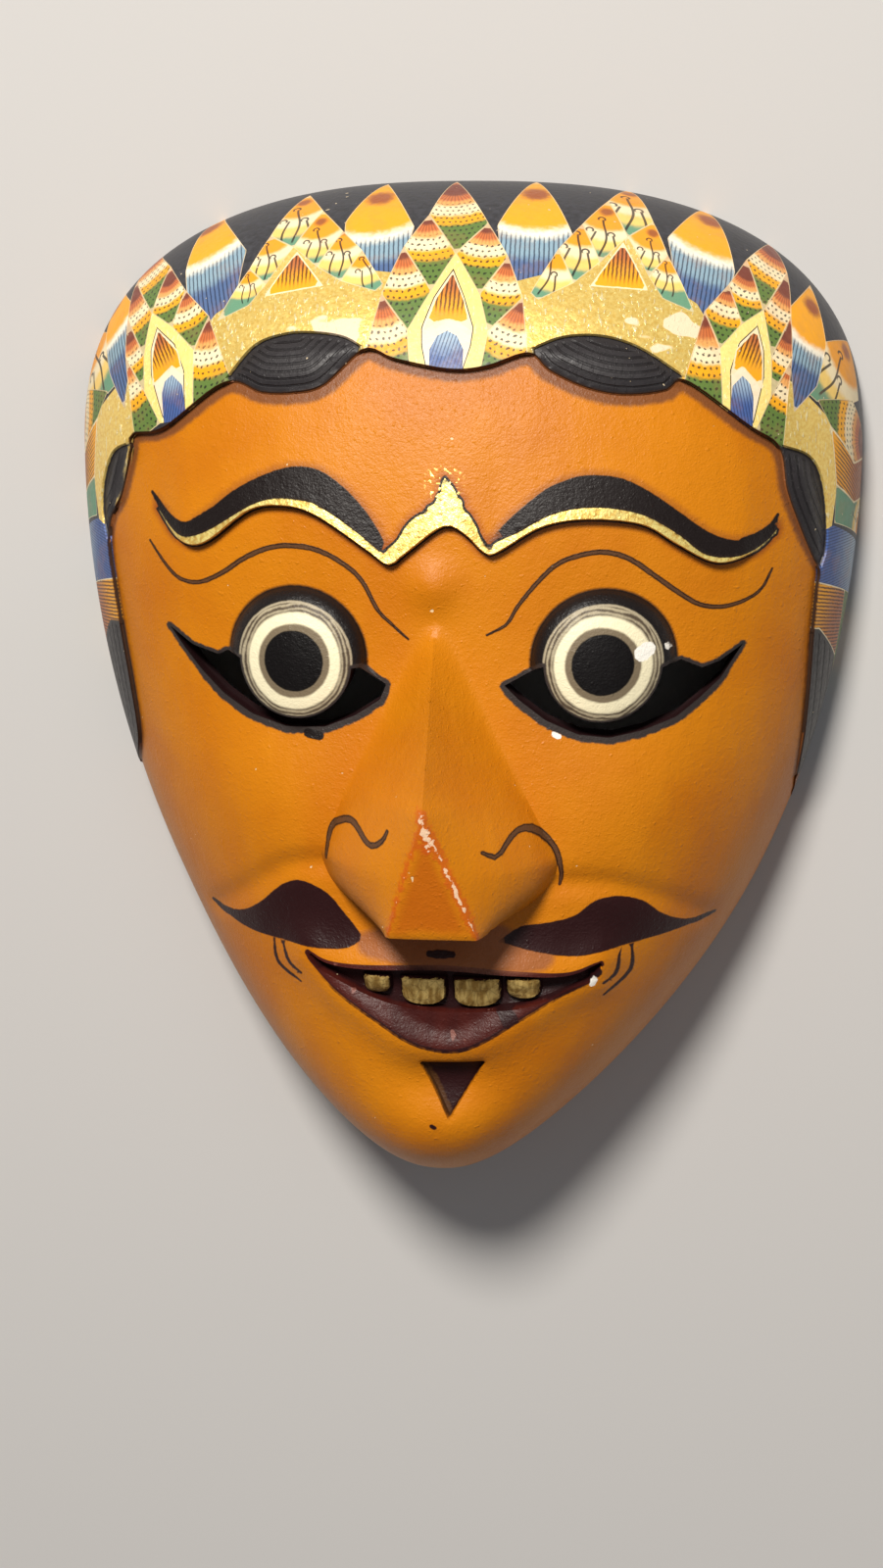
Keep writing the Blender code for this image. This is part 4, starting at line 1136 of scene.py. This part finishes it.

# %% [markdown]
# ## The face paint
#
# Gouache and lacquer over wood: a satin orange with a fine pimpled skin and faint tool marks under it. Black
# lines are soft at the edge, gold leaf is cracked and bright, and white ground shows at small chips. Some
# light
# and shade is painted in as colour: the nose's shadow on the lip, shade under the brow ridge, the lit facet
# of the goatee pit, dark round the slits inside, and a glint by the right eye.

# %% Face material
paint = PaintBox("painted_face")
fine = paint.noise(2600, 2, 0.6)
cloud = paint.noise(38, 3, 0.55)
tool = paint.noise(150, 2, 0.5, (1.0, 0.35, 1.0))
edge_noise = paint.noise(900, 2, 0.6)
ragged = (edge_noise - 0.5) * 0.00035
paint.colour = paint.mix(paint.ramp(cloud, 0.35, 0.7), ORANGE, rgb(195, 111, 6))
paint.coat(paint.ramp(tool, 0.5, 0.8) * 0.22, rgb(220, 138, 20))
hair = paint.attribute("hair_below")
paint.coat((1 - paint.ramp(hair + ragged * 2, 0.0015, 0.0025)) * 0.88, rgb(112, 66, 40))
brow_halo = paint.ramp(paint.attribute("brow_above") + ragged * 3, -0.0016, 0.0)
paint.coat(brow_halo * 0.45, rgb(120, 62, 34))
lip_depth = paint.attribute("lip_paint")
lip_colour = paint.mix(paint.ramp(tool, 0.35, 0.65), rgb(58, 18, 15), rgb(74, 26, 20))
scuff = paint.ramp(paint.noise(480, 2, 0.5, (1.0, 0.6, 1.0)), 0.66, 0.72)
lip_colour = paint.mix(scuff * 0.6, lip_colour, rgb(150, 96, 84))
paint.coat(paint.ramp(lip_depth, -0.0001, 0.0001), lip_colour)
facet = paint.ramp(paint.attribute("nose_facet") + (tool - 0.5) * 0.0030, -0.0002, 0.0024)
paint.coat(facet * 0.55, rgb(176, 74, 8))
# A red-orange band along the nose's facet edges and tip, with a white line in its middle.
edge_lines = paint.attribute("nose_edge_lines") + (edge_noise - 0.5) * 0.0020
paint.coat(paint.ramp(edge_lines, -0.0005, 0.0002) * 0.55, rgb(196, 70, 22))
paint.coat(paint.ramp(edge_lines, 0.00048, 0.00064) * 0.75, rgb(250, 224, 190))
# Painted shadow of the nose on the upper lip, pinkish brown inside the outline under the nose.
painted_nose_shadow = paint.attribute("painted_nose_shadow") + ragged * 2
paint.coat(paint.ramp(painted_nose_shadow, -0.0008, 0.0008) * 0.75, rgb(138, 82, 56))
eye = paint.attribute("eye_away") + ragged * 0.6
paint.coat(1 - paint.ramp(eye, 0.0127, 0.0134), rgb(24, 20, 20))
brush = paint.noise(330, 3, 0.6) * 0.6
brush = brush + paint.maths("PINGPONG", eye + (tool - 0.5) * 0.002, 0.0004) * 1000
grey = paint.mix(paint.ramp(brush, 0.32, 0.72), rgb(84, 72, 58), rgb(178, 166, 138))
paint.coat(1 - paint.ramp(eye, 0.0104, 0.0107), rgb(172, 160, 134))
paint.coat(1 - paint.ramp(eye, 0.0101, 0.0103), grey)
paint.coat(1 - paint.ramp(eye + (tool - 0.5) * 0.0008, 0.0083, 0.0090), rgb(244, 234, 198))
paint.coat(1 - paint.ramp(eye + (tool - 0.5) * 0.0010, 0.0064, 0.0069), rgb(124, 110, 88))
paint.coat(1 - paint.ramp(eye, 0.0053, 0.0056), rgb(14, 11, 11))
slit = paint.attribute("slit_edge")
lid = paint.ramp(slit + ragged * 2, -0.0009, -0.0005) * paint.ramp(eye, 0.0098, 0.0102)
paint.coat(lid, rgb(54, 47, 45))
ink = paint.attribute("black_paint") + ragged * 0.7
gold_depth = paint.attribute("gold_paint") + ragged * 0.5
# Painted shade: a red-brown band round the gilt, which shows as the shadow under the carved brow edge.
paint.coat(paint.ramp(gold_depth, -0.0020, -0.0002) * 0.55, rgb(140, 56, 16))
height_up = paint.split(paint.node("ShaderNodeTexCoord", output=3))[1]
ink_colour = paint.mix(paint.ramp(height_up, -0.030, -0.020), rgb(42, 16, 17), rgb(26, 19, 18))
paint.coat(paint.ramp(ink, -0.00012, 0.00016), ink_colour)
thin = paint.ramp(paint.attribute("thin_line") + ragged * 1.4, 0.00016, 0.00034)
paint.coat(thin * 0.7, rgb(108, 72, 44))
outline = paint.attribute("gold_paint") + ragged * 0.7
paint.coat(paint.ramp(outline, -0.00052, -0.00036), rgb(34, 24, 20))
pimple = paint.noise(1250, 1, 0.4)
fallen = paint.ramp(pimple, 0.60, 0.64) * (1 - paint.ramp(paint.attribute("gilt_apex"), 0.0026, 0.0040))
gold = paint.most(paint.ramp(gold_depth, -0.00004, 0.00008), fallen)
# Painted light: a brown strip on the goatee pit's left side, for its lit facet.
strip = paint.ramp(paint.attribute("goatee_lit_facet") + ragged, -0.0002, 0.0002)
paint.coat(strip * 0.8, rgb(84, 54, 28))
tooth = paint.ramp(paint.attribute("tooth_gilt") + ragged * 2.6, 0.0001, 0.0002)
crack = paint.ramp(paint.node("ShaderNodeTexVoronoi", {"feature": "DISTANCE_TO_EDGE"}, {
    "Vector": paint.node("ShaderNodeTexCoord", output=3), "Scale": 420.0}), 0.0, 0.07)
leaf_colour = paint.mix(paint.ramp(edge_noise, 0.35, 0.6), rgb(226, 184, 92), rgb(252, 232, 142))
leaf_colour = paint.mix((1 - crack) * 0.3, leaf_colour, rgb(150, 100, 40))
paint.coat(gold, leaf_colour)
bristle = paint.noise(900, 2, 0.5, (1.0, 0.25, 1.0))
tooth_colour = paint.mix(paint.ramp(bristle, 0.35, 0.65), rgb(150, 116, 58), rgb(216, 184, 112))
tooth_colour = paint.mix((1 - crack) * 0.3, tooth_colour, rgb(70, 50, 30))
paint.coat(tooth, tooth_colour)
back = 1 - paint.attribute("front_side")
grain = paint.noise(70, 4, 0.6, (3.0, 0.22, 3.0))
wood = paint.mix(paint.ramp(grain, 0.3, 0.75), rgb(150, 108, 68), rgb(190, 146, 98))
# Painted shade: inside, the wood within 12 mm of the sight slits turns dark maroon, for the dark seen through
# them.
wood = paint.mix(paint.ramp(slit, -0.012, -0.002), wood, rgb(44, 22, 24))
paint.coat(paint.ramp(back, 0.02, 0.10), wood)
paint.coat((1 - paint.ramp(pimple, 0.13, 0.16)) * 0.3 * (1 - back), rgb(120, 58, 22))
chips = paint.ramp(paint.noise(620, 1, 0.4), 0.815, 0.83)
paint.coat(chips * (1 - back) * 0.8, rgb(246, 220, 176))
# White ground at chips and spots, and one painted highlight: the glint beside the right eye.
bare = paint.ramp(paint.attribute("white_spot_and_glint") + ragged * 1.6, -0.0001, 0.0001)
paint.coat(bare * (1 - back), rgb(252, 248, 238))
metal = paint.most(gold, tooth)
shine = metal * 0.45
rough = 0.38 + paint.ramp(fine, 0.3, 0.8) * 0.14 + paint.ramp(back, 0.4, 0.6) * 0.3 - metal * 0.06
skin = fine * 0.5 + edge_noise * 0.6 + tool * 1.6 + paint.ramp(pimple, 0.6, 0.9) * 0.5
skin = skin + paint.ramp(ink, -0.0001, 0.0002) * 0.12 - chips * 0.6
paint.finish(carved_mask, {"Metallic": shine, "Specular IOR Level": 0.26, "Roughness": rough,
                           "Normal": paint.bump(skin, 0.00022, 0.75)})

# %% [markdown]
# ## The headdress paint
#
# Every cell reads the same three numbers: how far across and along it a point lies, and how far from its
# edge. Rings round the tip make the colour bands, and stripes across make the feather's barbs.

# %% Headdress material
crown = PaintBox("painted_headdress")
kind_of = crown.attribute("cell_kind")
size_of = crown.attribute("cell_length")
across, along, edge = crown.split(crown.attribute("cell_place", 1))
blot = crown.noise(900, 2, 0.6)
reach = crown.maths("SQRT", across * across + along * along)
ring = reach / size_of + (blot - 0.5) * 0.06


def is_kind(number):
    """1 on the cells of that kind, else 0."""
    return crown.maths("COMPARE", kind_of, float(number), 0.4)


def stripes(value, period, share):
    """1 on a thin line once in each period, 0 between."""
    wave = crown.maths("PINGPONG", value, period / 2)
    return 1 - crown.ramp(wave, period * share * 0.30, period * share * 0.60)


def bands(first, stops, soft=0.03):
    """Colours in rings from the tip outwards, each beginning at its stop."""
    result = first
    for start, shade in stops:
        result = crown.mix(crown.ramp(ring, start - soft, start + soft), result, shade)
    return result


INK = rgb(30, 27, 28)
CREAM = rgb(244, 226, 184)
crown.colour = crown.mix(crown.ramp(blot, 0.3, 0.7), rgb(38, 38, 42), rgb(60, 60, 66))

angle = crown.maths("ARCTAN2", across, along)
scale_colour = bands(rgb(124, 62, 46), [(.17, rgb(204, 112, 60)), (.28, rgb(238, 170, 96)), (.37, CREAM),
                                        (.53, rgb(242, 170, 26)), (.66, rgb(96, 122, 58))])
barbs = stripes(angle, 0.13, 0.5) * (1 - crown.ramp(ring, 0.22, 0.40)) * 0.4
scale_colour = crown.mix(barbs, scale_colour, rgb(96, 44, 34))
row = crown.maths("ROUND", reach / 0.00125)
dot_row = crown.maths("PINGPONG", reach + (blot - 0.5) * 0.0009, 0.000625)
dot_column = crown.maths("PINGPONG", across + row * 0.00051 + (blot - 0.5) * 0.0009, 0.00056)
dots = 1 - crown.ramp(crown.maths("SQRT", dot_row * dot_row + dot_column * dot_column), 0.00019, 0.00031)
dots = dots * crown.ramp(ring, 0.30, 0.36)
scale_colour = crown.mix(dots * 0.85, scale_colour, INK)
crown.coat(is_kind(SCALE), scale_colour)

kite_colour = bands(rgb(158, 84, 40), [(.09, rgb(246, 168, 26)), (.40, rgb(252, 244, 222)),
                                       (.47, rgb(140, 168, 184)), (.62, rgb(84, 108, 150))], 0.04)
feather = stripes(across + (blot - 0.5) * 0.0002, 0.00090, 0.36) * crown.ramp(ring, 0.43, 0.49)
kite_colour = crown.mix(feather * 0.75, kite_colour, rgb(24, 32, 54))
crown.coat(is_kind(KITE), kite_colour)

flower_colour = bands(rgb(160, 88, 36), [(.10, rgb(240, 158, 30)), (.43, CREAM), (.62, rgb(242, 204, 112)),
                                         (.80, rgb(104, 150, 120))], 0.05)
hooks = None
u, v = across / size_of, along / size_of
for shift, top in ((-0.20, 0.50), (0.0, 0.20), (0.19, 0.46)):
    sway = crown.maths("SINE", v * 8.0 + shift * 9.0) * 0.035
    stem = 1 - crown.ramp(crown.maths("ABSOLUTE", u - sway - shift * 0.72), 0.010, 0.020)
    stem = stem * crown.ramp(v, top, top + 0.02) * (1 - crown.ramp(v, 0.88, 0.94))
    side = u - shift * 0.72 - 0.055
    down = v - top
    curl = crown.maths("ABSOLUTE", crown.maths("SQRT", side * side + down * down) - 0.045)
    curl = (1 - crown.ramp(curl, 0.009, 0.018)) * (1 - crown.ramp(v, top + 0.01, top + 0.04))
    hook = crown.most(stem, curl)
    hooks = hook if hooks is None else crown.most(hooks, hook)
flower_colour = crown.mix(hooks * 0.9, flower_colour, INK)
crown.coat(is_kind(FLOWER), flower_colour)

shimmer = crown.noise(1600, 2, 0.6)
leaf = crown.mix(crown.ramp(shimmer, 0.2, 0.8), rgb(232, 190, 92), rgb(252, 224, 134))
# Painted highlights: fine pale dashes on the gold leaf, which also stand a little in the bump.
painted_glints = crown.ramp(crown.noise(1300, 1, 0.4, (1.6, 0.45, 1.0)), 0.62, 0.68)
leaf = crown.mix(painted_glints * 0.6, leaf, rgb(255, 248, 206))
leaf_chip = crown.ramp(crown.noise(110, 2, 0.5, (0.8, 1.4, 1.0)), 0.655, 0.675)
leaf = crown.mix(leaf_chip * is_kind(LEAF), leaf, rgb(240, 214, 180))
gold_here = crown.maths("ADD", is_kind(LEAF), is_kind(GILT_EDGE), clamp=True)
leaf = crown.mix(is_kind(GILT_EDGE) * 0.45, leaf, rgb(252, 236, 150))
crown.coat(gold_here, leaf)

panel_colour = crown.mix(1 - crown.ramp(edge, 0.00014, 0.00026), rgb(246, 228, 196), INK)
crown.coat(is_kind(PANEL), panel_colour)
hatch_colour = crown.mix(crown.ramp(ring, 0.3, 0.75), rgb(190, 108, 56), rgb(244, 168, 30))
hatch_lines = stripes(across + (blot - 0.5) * 0.0003, 0.00078, 0.5) * (1 - crown.ramp(ring, 0.70, 0.98))
hatch_colour = crown.mix(hatch_lines * 0.85, hatch_colour, rgb(62, 32, 20))
hatch_colour = crown.mix(1 - crown.ramp(edge + (blot - 0.5) * 0.0003, 0.00020, 0.00034), hatch_colour, CREAM)
crown.coat(is_kind(HATCH), hatch_colour)
blob_colour = crown.mix(crown.ramp(ring, 0.1, 0.6), rgb(160, 184, 204), rgb(72, 98, 156))
blob_colour = crown.mix(stripes(across, 0.00062, 0.4) * 0.65, blob_colour, rgb(30, 42, 80))
crown.coat(is_kind(BLOB), blob_colour)

outlined = crown.ramp(kind_of, 0.4, 0.6) * (1 - crown.ramp(kind_of, 3.4, 3.6))
rim_line = (1 - crown.ramp(edge, 0.00010, 0.00024)) * outlined
crown.coat(rim_line * 0.65, rgb(240, 214, 168))
smudge = crown.ramp(crown.noise(240, 3, 0.6), 0.45, 0.75) * 0.22 * crown.ramp(kind_of, 0.4, 0.6)
crown.coat(smudge * (1 - gold_here), rgb(176, 122, 84))
lobe = crown.attribute("hair_lobe") + (blot - 0.5) * 0.0003
in_lobe = crown.ramp(lobe, -0.0001, 0.0002)
# Painted shade: the grooves in the hair lobes are darker, as well as sunk in the bump.
groove = stripes(crown.attribute("above_hairline") + (blot - 0.5) * 0.0001, 0.00125, 0.36)
groove = groove * crown.ramp(lobe, 0.0006, 0.0012)
crown.coat(in_lobe, crown.mix(groove, rgb(46, 43, 45), rgb(31, 28, 30)))
border = crown.attribute("above_hairline")
crown.coat(1 - crown.ramp(border + (blot - 0.5) * 0.0004, 0.0001, 0.0005), rgb(60, 42, 32))
fleck = crown.ramp(crown.noise(900, 1, 0.4), 0.78, 0.80)
crown.coat(fleck * 0.75, rgb(226, 206, 170))
gilded = is_kind(LEAF) * (1 - leaf_chip) * (1 - in_lobe)
shine = gilded * 0.45
rough = 0.42 + crown.ramp(blot, 0.3, 0.8) * 0.12 - gilded * 0.14
height = blot * 0.5 + painted_glints * gold_here * 0.3 + rim_line * 0.3 - fleck * 0.5 - groove * in_lobe * 0.9
crown.finish(headdress_layer, {"Metallic": shine, "Specular IOR Level": 0.34, "Roughness": rough,
                               "Normal": crown.bump(height, 0.00022, 0.8)})

# %% [markdown]
# ## Floor, light and camera
#
# The mask lies face up on a pale floor. A soft light past the crown gives the shadow of a room lamp, and a
# broad weak one fills. The camera looks down on the face, a little from the crown's side.

# %% Stage
def stage_floor():
    """A square of pale matt paper, 6 m wide."""
    data = bpy.data.meshes.new("floor")
    data.from_pydata([(-3, -3, 0), (3, -3, 0), (3, 3, 0), (-3, 3, 0)], [], [(0, 1, 2, 3)])
    floor = bpy.data.objects.new("floor", data)
    bpy.context.collection.objects.link(floor)
    box = PaintBox("floor_paper")
    box.colour = (0.55, 0.54, 0.53, 1.0)
    box.finish(floor, {"Roughness": 0.9})
    return floor


def soft_light(name, place, aim, size, power, warmth):
    """A round lamp at a place in metres, turned to its aim, of a power in watts."""
    data = bpy.data.lights.new(name, "AREA")
    data.shape = "DISK"
    data.size = size
    data.energy = power
    data.color = warmth
    light = bpy.data.objects.new(name, data)
    light.location = place
    light.rotation_euler = (Vector(place) - Vector(aim)).to_track_quat("Z", "Y").to_euler()
    bpy.context.collection.objects.link(light)


floor = stage_floor()
soft_light("key", (-0.15, 0.74, 1.00), (0, 0, 0.03), 0.30, 20, (1.0, 0.95, 0.88))
soft_light("fill", (0.5, 0.2, 1.3), (0, 0, 0.02), 1.2, 1.6, (1.0, 0.97, 0.94))
world = bpy.data.worlds.new("room")
world.use_nodes = True
daylight = world.node_tree.nodes["Background"].inputs
daylight["Color"].default_value = (0.9, 0.93, 1.0, 1.0)
daylight["Strength"].default_value = 0.13
bpy.context.scene.world = world
bpy.context.scene.view_settings.view_transform = "Standard"

# %% Camera
CENTRE = np.array([0.0, 0.0, 0.015])
FAR = 0.500
TURN, TILT = math.radians(5), math.radians(10)
SHIFT_LEFT, SHIFT_DOWN = 0.0044, 0.0183
SENSOR, FOCAL_PX, FRAME_PX = 36.0, 2662, 1600
toward = np.array([math.sin(TURN) * math.cos(TILT), math.sin(TILT), math.cos(TURN) * math.cos(TILT)])
eye_point = CENTRE + FAR * toward


def camera_axes(aim):
    """Right, up and forward for a camera that looks at aim, with the crown up."""
    forward = (aim - eye_point) / np.linalg.norm(aim - eye_point)
    right = np.cross(forward, (0, 1, 0))
    right /= np.linalg.norm(right)
    return right, np.cross(right, forward), forward


right, up, _ = camera_axes(CENTRE)
right, up, forward = camera_axes(CENTRE - SHIFT_LEFT * right - SHIFT_DOWN * up)
lens = bpy.data.cameras.new("camera")
lens.sensor_width = SENSOR
lens.lens = FOCAL_PX * SENSOR / FRAME_PX
lens.clip_start = 0.01
camera = bpy.data.objects.new("camera", lens)
turned = np.eye(4)
turned[:3, 0], turned[:3, 1], turned[:3, 2], turned[:3, 3] = right, up, -forward, eye_point
camera.matrix_world = Matrix(turned.tolist())
bpy.context.collection.objects.link(camera)
bpy.context.scene.camera = camera
print("camera", np.round(eye_point / MM, 1), "mm, lens", round(lens.lens, 2))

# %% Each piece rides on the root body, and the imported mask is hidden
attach(carved_mask, "root")
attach(headdress_layer, "root")
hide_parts("mask")
